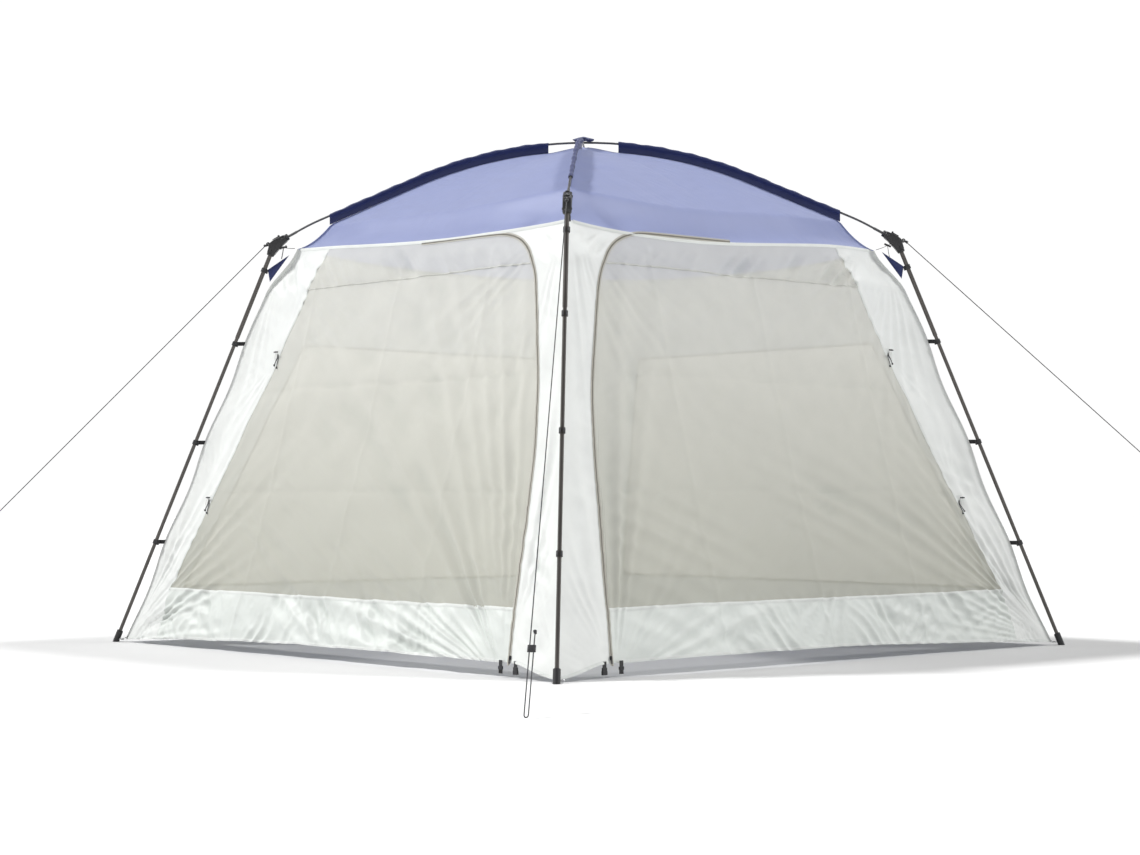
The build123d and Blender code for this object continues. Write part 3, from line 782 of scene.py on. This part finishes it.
def make_guy_lines():
    """A taut cord for each corner, with the loop and knots that tie it."""
    for corner, angle in CORNERS.items():
        route = [turned(p, angle) for p in guy_points(corner)]
        data = bpy.data.curves.new(f"guy_cord_{corner}", "CURVE")
        data.dimensions = "3D"
        data.bevel_depth = CORD_DIAMETER / 2
        data.bevel_resolution = 3
        data.resolution_u = 24
        data.use_fill_caps = True
        spline = data.splines.new("NURBS")
        spline.points.add(len(route) - 1)
        for point, place in zip(spline.points, route):
            point.co = (*place, 1)
        spline.order_u = 3
        spline.use_endpoint_u = True
        line = bpy.data.objects.new(f"guy_cord_{corner}", data)
        bpy.context.collection.objects.link(line)
        finished(line, CORD, "frame")
        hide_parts(f"guy_line_{corner}")

        eye = turned(Vector((ELBOW[0] + 0.030, 0.0, ELBOW[1])), angle)
        outward = (route[0] - eye).normalized()
        loop = []
        for i in range(13):
            a = 2 * math.pi * i / 12
            middle = eye + outward * 0.004
            sideways = turned(Vector((0, 1, 0)), angle)
            loop.append(middle + outward * 0.0075 * math.cos(a) + sideways * 0.006 * math.sin(a))
        bowline = finished(tube(f"guy_loop_{corner}", loop, 0.0019, closed=True), CORD, "frame")
        tied = knot(f"guy_knot_{corner}", route[0] + outward * 0.004, outward, 0.0065)
        finished(tied, CORD, "frame")
        stop = knot(f"guy_stop_{corner}", route[-1], (route[-1] - route[-2]).normalized(), 0.0060)
        finished(stop, CORD, "frame")


make_guy_lines()

# ---------------------------------------------------------------- canopy


SLEEVE_RUN = (0.158, 1.152)
RIDGE_DROP = 0.040
PEAK_DROP = 0.009
CORNER_RUN = CORNER_HALF * ROOT2


def rod_height(run, corner):
    """Height of a roof rod's axis at a distance from the middle, towards a corner."""
    run = np.asarray(run, float)
    apex = ROD_APEX + ROD_LIFT[corner]
    slope = (apex - ROD_KNEE[1]) / ROD_KNEE[0]
    bend_end = APEX_BEND * math.sin(math.atan(slope))
    bent = apex - APEX_BEND * math.hypot(1, slope) + np.sqrt(APEX_BEND**2 - np.minimum(run, bend_end) ** 2)
    return np.where(run < bend_end, bent, apex - slope * run)


def ridge(run, corner):
    """Height of the canopy's ridge: tied up at the crossing, under the rod, then hanging free."""
    run = np.asarray(run, float)
    under = rod_height(run, corner) - RIDGE_DROP
    peak = float(rod_height(0.0, "front")) - PEAK_DROP
    under = under + (peak - under) * (1 - smooth(run, 0.0, SLEEVE_RUN[0]))
    share = np.clip((run - SLEEVE_RUN[1]) / (CORNER_RUN - SLEEVE_RUN[1]), 0, 1)
    start = float(rod_height(SLEEVE_RUN[1], corner)) - RIDGE_DROP
    free = start + (ROOF_CORNERS[corner] - start) * share - 0.075 * share * (1 - share)
    return np.where(run < SLEEVE_RUN[1], under, free)


def canopy_place(wall, s, t):
    """Places on one gore: s across it from -1 to 1, t from the roof edge (0) to the peak (1)."""
    half = CORNER_HALF * (1 - t)
    u = s * half
    low, high = (ridge(half * ROOT2, c) for c in WALL_CORNERS[wall])
    level = low + (high - low) * (s + 1) / 2
    edge_u = s * CORNER_HALF
    edge_h = roof_edge(wall, edge_u)
    _, edge_y, _ = on_wall("left", edge_u, edge_h)
    stand_y = -edge_y - CORNER_HALF
    corner_low, corner_high = (ROOF_CORNERS[c] for c in WALL_CORNERS[wall])
    drop = edge_h - (corner_low + (corner_high - corner_low) * (s + 1) / 2)
    fade = (1 - t) ** 3
    belly = (1 - s * s) * (t * (1 - t)) ** 0.7
    z = level + drop * fade - 0.050 * belly
    out = half + stand_y * (1 - t) ** 1.5
    seed = SEEDS[wall]
    taut = smooth(1 - np.abs(s), 0.0, 0.12) * smooth(t, 0.0, 0.05) * smooth(1 - t, 0.02, 0.2)
    folds = 0.0050 * fan(u, t, (-CORNER_HALF, 0.0), 0.30, 7, seed + 51)
    folds = folds + 0.0050 * fan(u, t, (CORNER_HALF, 0.0), 0.30, 7, seed + 52)
    folds = folds + 0.0035 * creased(waves(u, t * 1.1, seed + 53, 75, 25, 0.17))
    folds = folds + 0.0022 * creased(waves(u, t * 1.1, seed + 54, -35, 25, 0.10))
    folds = folds - 0.0022 * np.exp(-np.abs(u - 0.02) / 0.008) - 0.0016 * np.exp(-np.abs(t - 0.42) / 0.006)
    z = z + folds * taut
    return u, t * 1.1, *to_wall(wall, u, -out, z)


def make_canopy():
    """One dome of cloth: four gores whose ridges hang under the rods."""
    gores = []
    for wall in SEEDS:

        def place(s, t, wall=wall):
            return canopy_place(wall, s * 2 - 1, t * 0.985)

        gores.append(grid_piece(f"gore_{wall}", place, 80, 129))
    canopy = finished(joined("canopy_sheet", gores), ROOF, "frame")
    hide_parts("canopy_left", "canopy_right", "canopy_rear_left", "canopy_rear_right")


# ---------------------------------------------------------------- sleeves, cap, tabs


def corner_point(run, across, z, angle):
    """A point in a corner's upright plane: run outwards, across it, and a height."""
    return turned(Vector((run, across, z)), angle)


def make_sleeves():
    """Navy sleeves round the rods, with a fin sewn to the canopy below."""
    pieces = []
    for index, (corner, angle) in enumerate(CORNERS.items()):
        rng = np.random.default_rng(70 + index)
        runs = np.linspace(*SLEEVE_RUN, 120)
        turns = [math.radians(a) for a in range(250, -71, -20)]
        verts, uvs = [], []
        phase = rng.uniform(0, 6.28, 3)
        for run in runs:
            top = float(rod_height(run, corner))
            low = top - RIDGE_DROP - 0.001
            pucker = 0.0011 * math.sin(run * 95 + phase[0]) + 0.0012 * math.sin(run * 41 + phase[1])
            row = [(0.0, low), (-0.0016, (low + top) / 2)]
            round_rod = 0.0088 + pucker
            row += [(-round_rod * math.cos(a), top + round_rod * math.sin(a)) for a in turns]
            row += [(0.0016, (low + top) / 2), (0.0, low)]
            for k, (across, z) in enumerate(row):
                verts.append(corner_point(float(run), across, z, angle))
                uvs.append((k * 0.004, run))
        pieces.append(mesh_piece(f"sleeve_{corner}", verts, grid_faces(len(runs), len(row)), uvs))
    sleeves = finished(joined("rod_sleeves_cloth", pieces), NAVY, "frame")
    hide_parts("rod_sleeves")


def make_cap():
    """The cap over the crossing: four flaps drawn down over the rods, and a small peak."""

    def place(s, t):
        a = s * 2 * math.pi
        r = 0.004 + 0.040 * t
        lobes = 0.5 + 0.5 * np.cos(4 * a - math.pi)
        z = 2.2800 - 0.30 * r - 0.006 * (1 - lobes) * t**2 + 0.0012 * np.sin(9 * a + 1) * t
        x = r * np.cos(a) * (1 + 0.10 * lobes)
        y = r * np.sin(a) * (1 + 0.10 * lobes)
        return a * 0.06, r, x, y, z

    cap = grid_piece("peak_cap_cloth", place, 14, 97)
    thick = cap.modifiers.new("thickness", "SOLIDIFY")
    thick.thickness = 0.0012
    apply_modifiers(cap)
    finished(cap, NAVY, "frame")
    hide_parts("peak_cap")


def make_tabs():
    """Navy triangles from the roof's corners to the legs."""
    top, leg, low = Vector((1.336, 0, 1.752)), Vector((1.434, 0, 1.686)), Vector((1.425, 0, 1.630))
    pieces = []
    for angle in CORNERS.values():

        def place(s, t, angle=angle):
            points = []
            for a, b in zip(s, t):
                p = top.lerp(leg.lerp(low, a), b)
                bow = 0.006 * math.sin(math.pi * a) * math.sin(math.pi * b)
                points.append(turned(p + Vector((0, bow, 0)), angle))
            x, y, z = np.array(points).T
            return s * 0.06, t * 0.12, x, y, z

        pieces.append(grid_piece("tab", place, 12, 12))
    tabs = finished(joined("corner_tabs_cloth", pieces), NAVY, "frame")
    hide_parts("corner_tabs")


make_canopy()
make_sleeves()
make_cap()
make_tabs()

# ---------------------------------------------------------------- walls of cloth


def outer_path(side, t):
    """The corner panel's edge away from the zip: up the corner edge, then back along the roof edge."""
    t = np.asarray(t, float)
    turn = 0.66
    rise = np.clip(t / turn, 0, 1)
    back = np.clip((t - turn) / (1 - turn), 0, 1)
    h_corner = 0.012 + (roof_edge(side, 0.92) - 0.012) * rise
    u_up = corner_edge(h_corner)
    u_top = float(corner_edge(roof_edge(side, 0.92))) * (1 - back) + FOLD_TOP[0] * back
    u = np.where(t < turn, u_up, u_top)
    return u, np.where(t < turn, h_corner, roof_edge(side, u))


def zip_path(t, gap):
    """The zip's path as arrays, moved sideways by gap."""
    places = np.array([zip_point(x, gap) for x in np.atleast_1d(t)])
    return places[:, 0], places[:, 1]


def top_of_door(side, u):
    """Height of the top edge of the door's mesh: the roof edge, the mesh's outer edge or the zip."""
    u = np.asarray(u, float)
    slant = SKIRT + (MESH_BOTTOM + u) / (MESH_BOTTOM - MESH_TOP) * (ROOF_EDGE - SKIRT)
    line = np.array([zip_point(x, -ZIP_GAP) for x in np.linspace(0, 1, 260)])[::-1]
    zipped = np.interp(u, line[:, 0], line[:, 1], left=9.0)
    return np.minimum(np.minimum(slant, roof_edge(side, u)), np.where(u > FOLD_TOP[0], zipped, 9.0))


def fold_with(piece):
    """Bake a door piece's placement into its mesh."""
    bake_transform(piece)


def make_corner_panel(side):
    """White cloth between a door wall's zip and the front corner."""
    columns = 26

    def across(s, t):
        zu, zh = zip_path(t.reshape(-1, columns)[:, 0], ZIP_GAP)
        zu, zh = np.repeat(zu, columns), np.repeat(zh, columns)
        zh = np.where(zh < 0.07, hem(side, zu), zh)
        ou, oh = outer_path(side, t)
        u, h = zu + (ou - zu) * s, zh + (oh - zh) * s
        foot = np.clip(1 - t / 0.004, 0, 1)
        return u, h * (1 - foot) + hem(side, u) * foot

    panel = wall_sheet(f"corner_cloth_{side}", side, across, 240, columns)
    finished(panel, WHITE, "frame")
    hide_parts(f"corner_panel_{side}")


def make_side_panel(side):
    """White cloth from the mesh to the outer corner."""

    def across(s, t):
        h = t * roof_edge(side, -0.92)
        inner_u = -mesh_edge(h)
        outer_u = -corner_edge(h)
        u = outer_u + (inner_u - outer_u) * s
        low, high = hem(side, u), roof_edge(side, u)
        return u, low + (high - low) * t

    panel = wall_sheet(f"side_cloth_{side}", side, across, 170, 40)
    finished(panel, WHITE, "frame")
    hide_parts(f"side_panel_{side}")


def make_door(side):
    """The mesh of a door wall, past its fold line to the outer edge, and its skirt."""
    low = -MESH_BOTTOM

    def mesh_across(s, t):
        right = np.interp(SKIRT, ZIP_LINE[:, 1][:120], ZIP_LINE[:, 0][:120]) - ZIP_GAP
        u = low + (right - low) * s
        top = np.maximum(top_of_door(side, u), SKIRT)
        return u, SKIRT + (top - SKIRT) * t

    net = wall_sheet(f"door_net_{side}", side, mesh_across, 130, 250)
    finished(net, MESH)
    fold_with(net)
    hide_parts(f"door_mesh_{side}", f"fixed_mesh_{side}")

    def skirt_across(s, t):
        h = SKIRT * t
        right = np.interp(h, ZIP_LINE[:, 1][:60], ZIP_LINE[:, 0][:60]) - ZIP_GAP
        u = low + (right - low) * s
        bottom = hem(side, u)
        return u, bottom + (SKIRT - bottom) * t

    skirt = wall_sheet(f"skirt_cloth_{side}", side, skirt_across, 34, 360)
    finished(skirt, SKIRT_CLOTH)
    fold_with(skirt)
    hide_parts(f"door_skirt_{side}")


def make_rear(side):
    """A rear wall: white cloth round a mesh window."""
    wall = f"rear_{side}"
    columns = (26, 200, 26)
    rows = [(0.0, SKIRT, 30), (SKIRT, REAR_SEAM, 96), (REAR_SEAM, ROOF_EDGE, 44)]
    cloth_parts, net = [], None
    for r, (h0, h1, high) in enumerate(rows):
        for c, wide in enumerate(columns):

            def across(s, t, h0=h0, h1=h1, r=r, c=c):
                h = h0 + (h1 - h0) * t
                inner, outer = mesh_edge(h), corner_edge(h)
                lows, highs = [-outer, -inner, inner], [-inner, inner, outer]
                u = lows[c] + (highs[c] - lows[c]) * s
                if r == 0:
                    h = hem(wall, u) + (SKIRT - hem(wall, u)) * t
                if r == 2:
                    h = REAR_SEAM + (roof_edge(wall, u) - REAR_SEAM) * t
                return u, h

            part = wall_sheet(f"{wall}_{r}{c}", wall, across, high, wide)
            if (r, c) == (1, 1):
                net = part
            else:
                cloth_parts.append(part)
    panel = finished(joined(f"rear_cloth_{side}", cloth_parts), WHITE, "frame")
    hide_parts(f"rear_panel_{side}")
    net.name = f"rear_net_{side}"
    finished(net, MESH, "frame")
    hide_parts(f"rear_mesh_{side}")


# ---------------------------------------------------------------- zips


def strip_on_wall(name, wall, path, half, out, steps, columns=5, edge_turn=0.0):
    """A strip of cloth along path(t) -> u, h on a wall, lying on its cloth."""
    t = np.linspace(0, 1, steps)
    u, h = path(t)
    du, dh = np.gradient(u), np.gradient(h)
    size = np.hypot(du, dh)
    nu, nh = dh / size, -du / size
    verts, uvs = [], []
    run = np.concatenate([[0], np.cumsum(size[1:])])
    for k in range(columns):
        share = 2 * k / (columns - 1) - 1
        pu, ph = u + nu * half * share, h + nh * half * share
        x, y, z = on_wall(wall, pu, ph, out - edge_turn * abs(share))
        verts.append(np.stack([x, y, z], 1))
        uvs.append(np.stack([np.full(steps, half * share), run], 1))
    verts = np.stack(verts, 1).reshape(-1, 3)
    uvs = np.stack(uvs, 1).reshape(-1, 2)
    return mesh_piece(name, verts, grid_faces(steps, columns), uvs)


def stitches(name, wall, path, out, pitch=0.0065, length=0.0042, wide=0.0009):
    """A row of stitches along a path on a wall: short raised threads."""
    fine = np.linspace(0, 1, 1500)
    u, h = path(fine)
    run = np.concatenate([[0], np.cumsum(np.hypot(np.diff(u), np.diff(h)))])
    places = np.arange(pitch / 2, run[-1] - length, pitch)
    faces, ends = [], []
    for shift in (-length / 2, length / 2):
        a = np.interp(places + shift, run, u)
        b = np.interp(places + shift, run, h)
        ends.append((a, b))
    (u0, h0), (u1, h1) = ends
    du, dh = u1 - u0, h1 - h0
    size = np.hypot(du, dh)
    nu, nh = dh / size * wide / 2, -du / size * wide / 2
    rows = []
    for a, b, lift in (
        (u0, h0, 0.0),
        ((u0 + u1) / 2 + nu, (h0 + h1) / 2 + nh, 0.0),
        (u1, h1, 0.0),
        ((u0 + u1) / 2 - nu, (h0 + h1) / 2 - nh, 0.0),
        ((u0 + u1) / 2, (h0 + h1) / 2, 0.0008),
    ):
        rows.append(np.stack(on_wall(wall, a, b, out + lift), 1))
    rows = np.stack(rows, 1).reshape(-1, 3)
    for i in range(len(places)):
        base = 5 * i
        faces += [(base, base + 1, base + 4), (base + 1, base + 2, base + 4)]
        faces += [(base + 2, base + 3, base + 4), (base + 3, base, base + 4)]
        faces.append((base, base + 3, base + 2, base + 1))
    return mesh_piece(name, rows, faces)


def coil(name, side, sign):
    """One half of a zip's teeth: small rounded bars along its middle."""
    total = 2.35
    pitch = 0.0030
    count = int(total / pitch)
    t = (np.arange(count) + (0.5 if sign > 0 else 0.0)) / count
    u, h = zip_path(t, 0.0)
    ahead, ahead_h = zip_path(np.clip(t + 0.001, 0, 1), 0.0)
    behind, behind_h = zip_path(np.clip(t - 0.001, 0, 1), 0.0)
    du, dh = ahead - behind, ahead_h - behind_h
    size = np.hypot(du, dh)
    au, ah = du / size, dh / size
    nu, nh = ah * sign, -au * sign
    corners = [(-0.0006, -0.0012), (-0.0006, 0.0030), (0.0006, 0.0030), (0.0006, -0.0012)]
    rows = []
    for lift, shrink in ((0.0008, 1.0), (0.0024, 0.75)):
        for along, across in corners:
            pu = u + au * along * shrink + nu * across
            ph = h + ah * along * shrink + nh * across
            rows.append(np.stack(on_wall(side, pu, ph, lift), 1))
    verts = np.stack(rows, 1).reshape(-1, 3)
    faces = []
    for i in range(count):
        b = 8 * i
        faces += [(b + 4, b + 5, b + 6, b + 7), (b, b + 3, b + 2, b + 1)]
        faces += [(b + k, b + (k + 1) % 4, b + 4 + (k + 1) % 4, b + 4 + k) for k in range(4)]
    return mesh_piece(name, verts, faces)


def make_zip(side):
    """Both halves of a zip: tape, teeth and a row of stitches."""
    for half, sign in (("fixed", 1), ("door", -1)):

        def beside(gap, sign=sign):
            return lambda t: zip_path(t, sign * gap)

        name = f"zip_tape_{half}_{side}"
        tape = strip_on_wall(name, side, beside(0.0045), 0.0040, 0.0014, 260, 4)
        finished(tape, ZIP_TAPE)
        teeth = finished(coil(f"zip_coil_{half}_{side}", side, sign), COIL)
        seam = stitches(f"zip_stitch_{half}_{side}", side, beside(0.0105), 0.0012)
        finished(seam, THREAD)
        for piece in (tape, teeth, seam):
            if half == "door":
                fold_with(piece)
            else:
                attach(piece, "frame")
        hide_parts(f"zip_{half}_{side}")


# ---------------------------------------------------------------- seams and hems


def line_path(u0, h0, u1, h1):
    """A straight path on a wall."""
    return lambda t: (u0 + (u1 - u0) * t, h0 + (h1 - h0) * t)


def edge_path(wall, edge, u0, u1, rise):
    """A path that follows the hem or the roof edge of a wall at a small height from it."""

    def path(t):
        u = u0 + (u1 - u0) * t
        return u, edge(wall, u) + rise

    return path


def slant_path(sign, top):
    """A path up the outer edge of a mesh, on the left (-1) or the right (1) of its wall."""

    def path(t):
        h = SKIRT + (top - SKIRT) * t
        return sign * mesh_edge(h), h

    return path


BINDING_OUT = 0.0026


def make_wall_seams(side):
    """Bindings and seams on a door wall: hem, skirt top, mesh edge, roof edge and the seam across."""
    left, right = -MESH_BOTTOM, 1.150
    seam_left = -float(mesh_edge(DOOR_SEAM))
    seam_right = float(np.interp(DOOR_SEAM, ZIP_LINE[:170, 1], ZIP_LINE[:170, 0])) - 0.016
    fixed = [
        ("near_hem", edge_path(side, hem, 1.206, 1.452, 0.004), 0.006, BINDING),
        ("roof_binding", edge_path(side, roof_edge, -0.91, 0.91, -0.004), 0.007, BINDING),
        ("slant_binding", slant_path(-1, roof_edge(side, -MESH_TOP)), 0.007, BINDING),
    ]
    folding = [
        ("hem", edge_path(side, hem, -1.455, 1.160, 0.004), 0.006, BINDING),
        ("skirt_binding", line_path(left, SKIRT, right, SKIRT), 0.006, BINDING),
        ("mesh_seam", line_path(seam_left, DOOR_SEAM, seam_right, DOOR_SEAM), 0.003, SEAM_TAPE),
    ]
    for moves, group in ((False, fixed), (True, folding)):
        for name, path, half, material in group:
            strip = strip_on_wall(f"{name}_{side}", side, path, half, BINDING_OUT, 520, 5, 0.0014)
            finished(strip, material)
            row = stitches(f"{name}_stitch_{side}", side, path, BINDING_OUT)
            finished(row, THREAD)
            for piece in (strip, row):
                if moves:
                    fold_with(piece)
                else:
                    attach(piece, "frame")


def make_rear_seams(side):
    """Bindings of a rear wall: hem, roof edge and round the mesh window."""
    wall = f"rear_{side}"
    top = float(mesh_edge(REAR_SEAM))
    paths = [
        ("hem", edge_path(wall, hem, -1.452, 1.452, 0.004)),
        ("roof_binding", edge_path(wall, roof_edge, -0.91, 0.91, -0.004)),
        ("skirt_binding", line_path(-MESH_BOTTOM, SKIRT, MESH_BOTTOM, SKIRT)),
        ("seam", line_path(-top, REAR_SEAM, top, REAR_SEAM)),
        ("slant_a", slant_path(-1, REAR_SEAM)),
        ("slant_b", slant_path(1, REAR_SEAM)),
    ]
    for name, path in paths:
        strip = strip_on_wall(f"{wall}_{name}", wall, path, 0.006, 0.0022, 300, 4, 0.0012)
        finished(strip, BINDING, "frame")


for side in SIDES:
    make_corner_panel(side)
    make_side_panel(side)
    make_door(side)
    make_rear(side)
    make_zip(side)
    make_wall_seams(side)
    make_rear_seams(side)

# ---------------------------------------------------------------- hubs, straps and small trims


def outline_solid(name, outline, thickness, bevel):
    """A plate from an outline in a corner's upright plane, rounded at its edges."""
    count = len(outline)
    verts = [(x, y, z) for y in (-thickness / 2, thickness / 2) for x, z in outline]
    faces = [tuple(range(count)), tuple(reversed(range(count, 2 * count)))]
    faces += [(i, i + count, (i + 1) % count + count, (i + 1) % count) for i in range(count)]
    return rounded(mesh_piece(name, verts, faces), bevel, 3)


def lathe(name, start, along, profile, sides=24):
    """A turned shape: profile lists (distance along, radius)."""
    side = along.orthogonal().normalized()
    other = along.cross(side)
    verts = []
    for far, radius in profile:
        verts += [start + along * far + out * radius for out in circle(side, other, sides)]
    return mesh_piece(name, verts, ring_faces(len(profile), sides))


def ribbed(length, radius, ribs, pitch=0.006, depth=0.0016):
    """The profile of a socket with a rounded lip and ribs near its mouth."""
    profile = [(0.0, radius)]
    place = length - 0.004 - ribs * pitch
    for _ in range(ribs):
        profile += [(place, radius), (place + 0.0008, radius + depth), (place + 0.0030, radius + depth)]
        profile += [(place + 0.0038, radius)]
        place += pitch
    return profile + [(length - 0.0015, radius), (length, radius - 0.0015)]


def make_hubs():
    """Moulded hubs: a thick elbow, a ribbed socket for the leg, one for the rod, a latch and an eye."""
    elbow = Vector((ELBOW[0], 0, ELBOW[1]))
    down = -UP_LEG
    normal_rod = Vector((UP_ROD.z, 0, -UP_ROD.x))
    normal_leg = Vector((-down.z, 0, down.x))
    for corner, angle in CORNERS.items():
        marks = [
            elbow + UP_ROD * 0.058 + normal_rod * 0.015,
            elbow + UP_ROD * 0.058 - normal_rod * 0.016,
            elbow + UP_ROD * 0.034 - normal_rod * 0.021,
            elbow + down * 0.032 - normal_leg * 0.021,
            elbow + down * 0.048 - normal_leg * 0.017,
            elbow + down * 0.048 + normal_leg * 0.016,
            elbow + down * 0.010 + normal_leg * 0.020,
            elbow + UP_ROD * -0.012 + normal_rod * 0.016,
            elbow + UP_ROD * 0.008 + normal_rod * 0.019,
        ]
        pieces = [outline_solid("body", [(p.x, p.z) for p in marks], 0.035, 0.004)]
        pieces.append(lathe("rod_socket", elbow + UP_ROD * 0.01, UP_ROD, ribbed(0.062, 0.0145, 2)))
        pieces.append(lathe("leg_socket", elbow + down * 0.01, down, ribbed(0.047, 0.0165, 3)))
        for sign in (-1, 1):
            out = Vector((0, sign, 0))
            for spot in (elbow + UP_ROD * 0.044, elbow + down * 0.036):
                dome = [(0.0, 0.0050), (0.0022, 0.0050), (0.0034, 0.0036), (0.0038, 0.0012)]
                pieces.append(lathe("rivet", spot + out * 0.0165, out, dome, 16))
        latch_turn = Matrix.Rotation(math.atan2(UP_ROD.x, UP_ROD.z), 4, "Y")
        latch_at = Matrix.Translation(elbow + UP_ROD * 0.020 + normal_rod * 0.0195)
        pieces.append(block("latch", (0.008, 0.020, 0.036), latch_at @ latch_turn, 0.002, 3))
        grip_at = Matrix.Translation(elbow + UP_ROD * 0.034 + normal_rod * 0.0245)
        pieces.append(block("grip", (0.006, 0.016, 0.008), grip_at @ latch_turn, 0.0015, 3))
        eye = elbow + Vector((0.030, 0, 0))
        ring = [eye + out * 0.0068 for out in circle(Vector((1, 0, 0)), Vector((0, 0, 1)), 20)]
        pieces.append(tube("eye", ring, 0.0030, 10, closed=True))
        arm = [(0.012, 0.007), (0.0235, 0.004), (0.0235, -0.004), (0.012, -0.010)]
        arm = [(elbow.x + x, elbow.z + z) for x, z in arm]
        pieces.append(outline_solid("arm", arm, 0.008, 0.0015))
        hub = joined(f"hub_shell_{corner}", pieces)
        hub.data.transform(Matrix.Rotation(math.radians(angle), 4, "Z"))
        finished(hub, PLASTIC, "frame")
        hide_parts(f"hub_{corner}")


def hanging(a, b, sag, count=14):
    """Points from a to b with a sag in the middle."""
    shares = [i / count for i in range(count + 1)]
    return [a.lerp(b, t) - Vector((0, 0, sag * 4 * t * (1 - t))) for t in shares]


def make_corner_straps():
    """Webbing from each hub to the roof's corner, with a ladder buckle and a loose tail."""
    straps, buckles = [], []
    for corner, angle in CORNERS.items():
        spin = Matrix.Rotation(math.radians(angle), 4, "Z")
        start = Vector((1.384, 0, 1.793))
        end = Vector((CORNER_RUN + 0.006, 0, ROOF_CORNERS[corner] + 0.004))
        line = hanging(start, end, 0.004)
        side = [Vector((0, 1, 0))] * 15
        straps.append(ribbon("strap", line, side, 0.019, 0.0016))
        middle = line[4]
        tail = hanging(middle - Vector((0, 0, 0.004)), middle + Vector((0.008, 0.003, -0.052)), 0.004)
        straps.append(ribbon("tail", tail, side, 0.019, 0.0014))
        lean = Matrix.Rotation(-math.atan2(end.z - start.z, start.x - end.x), 4, "Y")
        for place in (-0.013, -0.004, 0.005, 0.013):
            bar = Matrix.Translation(middle + Vector((place, 0, -place * 0.5))) @ lean
            buckles.append(block("bar", (0.0035, 0.026, 0.0050), bar, 0.001))
        for across in (-0.012, 0.012):
            rail = Matrix.Translation(middle + Vector((0, across, 0))) @ lean
            buckles.append(block("rail", (0.030, 0.0035, 0.0055), rail, 0.001))
        for piece in straps[-2:] + buckles[-6:]:
            piece.data.transform(spin)
    cloth_part = finished(joined("corner_webbing", straps), WEBBING, "frame")
    finished(joined("corner_buckles", buckles), PLASTIC, "frame")
    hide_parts("corner_straps")


def make_clip_straps():
    """Short webbing from the walls' corner edges to the clips on the legs."""
    straps = []
    foot = Vector((FOOT_HALF * ROOT2, 0, 0))
    for angle in CORNERS.values():
        spin = Matrix.Rotation(math.radians(angle), 4, "Z")
        for up in CLIP_UP:
            at = foot + UP_LEG * up
            inner = Vector(((WALL_HALF - at.z * SLOPE - 0.006) * ROOT2, 0, at.z))
            line = [inner.lerp(at, i / 8) + Vector((0, 0.0015 * math.sin(i), 0)) for i in range(8)]
            straps.append(ribbon("strap", line, [UP_LEG] * 8, 0.018, 0.0016))
            straps[-1].data.transform(spin)
    piece = finished(joined("clip_webbing", straps), WEBBING, "frame")
    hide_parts("clip_straps")


def wall_point(wall, u, h, out=0.0):
    """One place on a wall's cloth."""
    x, y, z = on_wall(wall, np.array([u]), np.array([h]), out)
    return Vector((float(x[0]), float(y[0]), float(z[0])))


def make_ties(side):
    """White loops by the toggles, which hold the door when it is rolled back, and their black tails."""
    loops, tails, patches = [], [], []
    for u, h in TOGGLES.values():
        loop = []
        for i in range(17):
            a = math.pi * i / 8
            across, up = 0.010 * math.cos(a), 0.017 * math.sin(a)
            loop.append(wall_point(side, u - 0.013 + across, h - 0.016 + up, 0.0045))
        loops.append(tube("loop", loop, 0.0014, 8))
        for drift, length in ((0.012, 0.060), (-0.010, 0.048)):
            cord = []
            for i in range(12):
                t = i / 11
                swing = drift * t + 0.004 * math.sin(5 * t)
                cord.append(wall_point(side, u + swing, h - 0.006 - length * t, 0.0040))
            tails.append(tube("cord", cord, 0.0016, 8))
            tails.append(knot("knot", cord[-1], (cord[-1] - cord[-2]).normalized(), 0.0042))

        def square(t, u=u, h=h):
            return u + (t - 0.5) * 0.034, np.full_like(t, h)

        patches.append(strip_on_wall("patch", side, square, 0.015, 0.0012, 12, 8, 0.0004))
    finished(joined(f"toggle_loops_{side}", loops), LOOP, "frame")
    finished(joined(f"toggle_tails_{side}", tails), CORD, "frame")
    finished(joined(f"toggle_patches_{side}", patches), BINDING, "frame")


def make_ground_loops():
    """Webbing loops at the walls' bottom corners, each with a steel ring for a peg."""
    loops, rings = [], []
    for angle in CORNERS.values():
        spin = Matrix.Rotation(math.radians(angle), 4, "Z")
        start = Vector(((WALL_HALF - 0.004) * ROOT2, 0, 0.020))
        foot_side = Vector((FOOT_HALF * ROOT2 - 0.012, 0, 0.012))
        line = hanging(start, foot_side, 0.003, 10)
        loops.append(ribbon("loop", line, [Vector((0, 1, 0))] * 11, 0.020, 0.0016))
        centre = start.lerp(foot_side, 0.5) + Vector((0, 0.016, -0.0045))
        ring = [centre + out for out in circle(Vector((0.011, 0, 0)), Vector((0, 0.013, 0)), 24)]
        rings.append(tube("ring", ring, 0.0015, 8, closed=True))
        loops[-1].data.transform(spin)
        rings[-1].data.transform(spin)
    finished(joined("ground_loops", loops), WEBBING, "frame")
    finished(joined("ground_rings", rings), FERRULE, "frame")


make_hubs()
make_corner_straps()
make_clip_straps()
make_ground_loops()
for side in SIDES:
    make_ties(side)

# ---------------------------------------------------------------- CAD nodes that stay: their materials

CAD_LOOKS = {
    "leg_": LEG,
    "foot_caps": PLASTIC,
    "rod_ferrules": ROD,
    "roof_rod": ROD,
    "pole_clips": PLASTIC,
    "zip_slider": ZIP_METAL,
    "zip_pull": ZIP_METAL,
    "toggle": PLASTIC,
    "buckle": PLASTIC,
    "guy_runner": PLASTIC,
}
for node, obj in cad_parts.items():
    for start, material in CAD_LOOKS.items():
        if node.startswith(start):
            for slot in obj.material_slots:
                slot.material = material
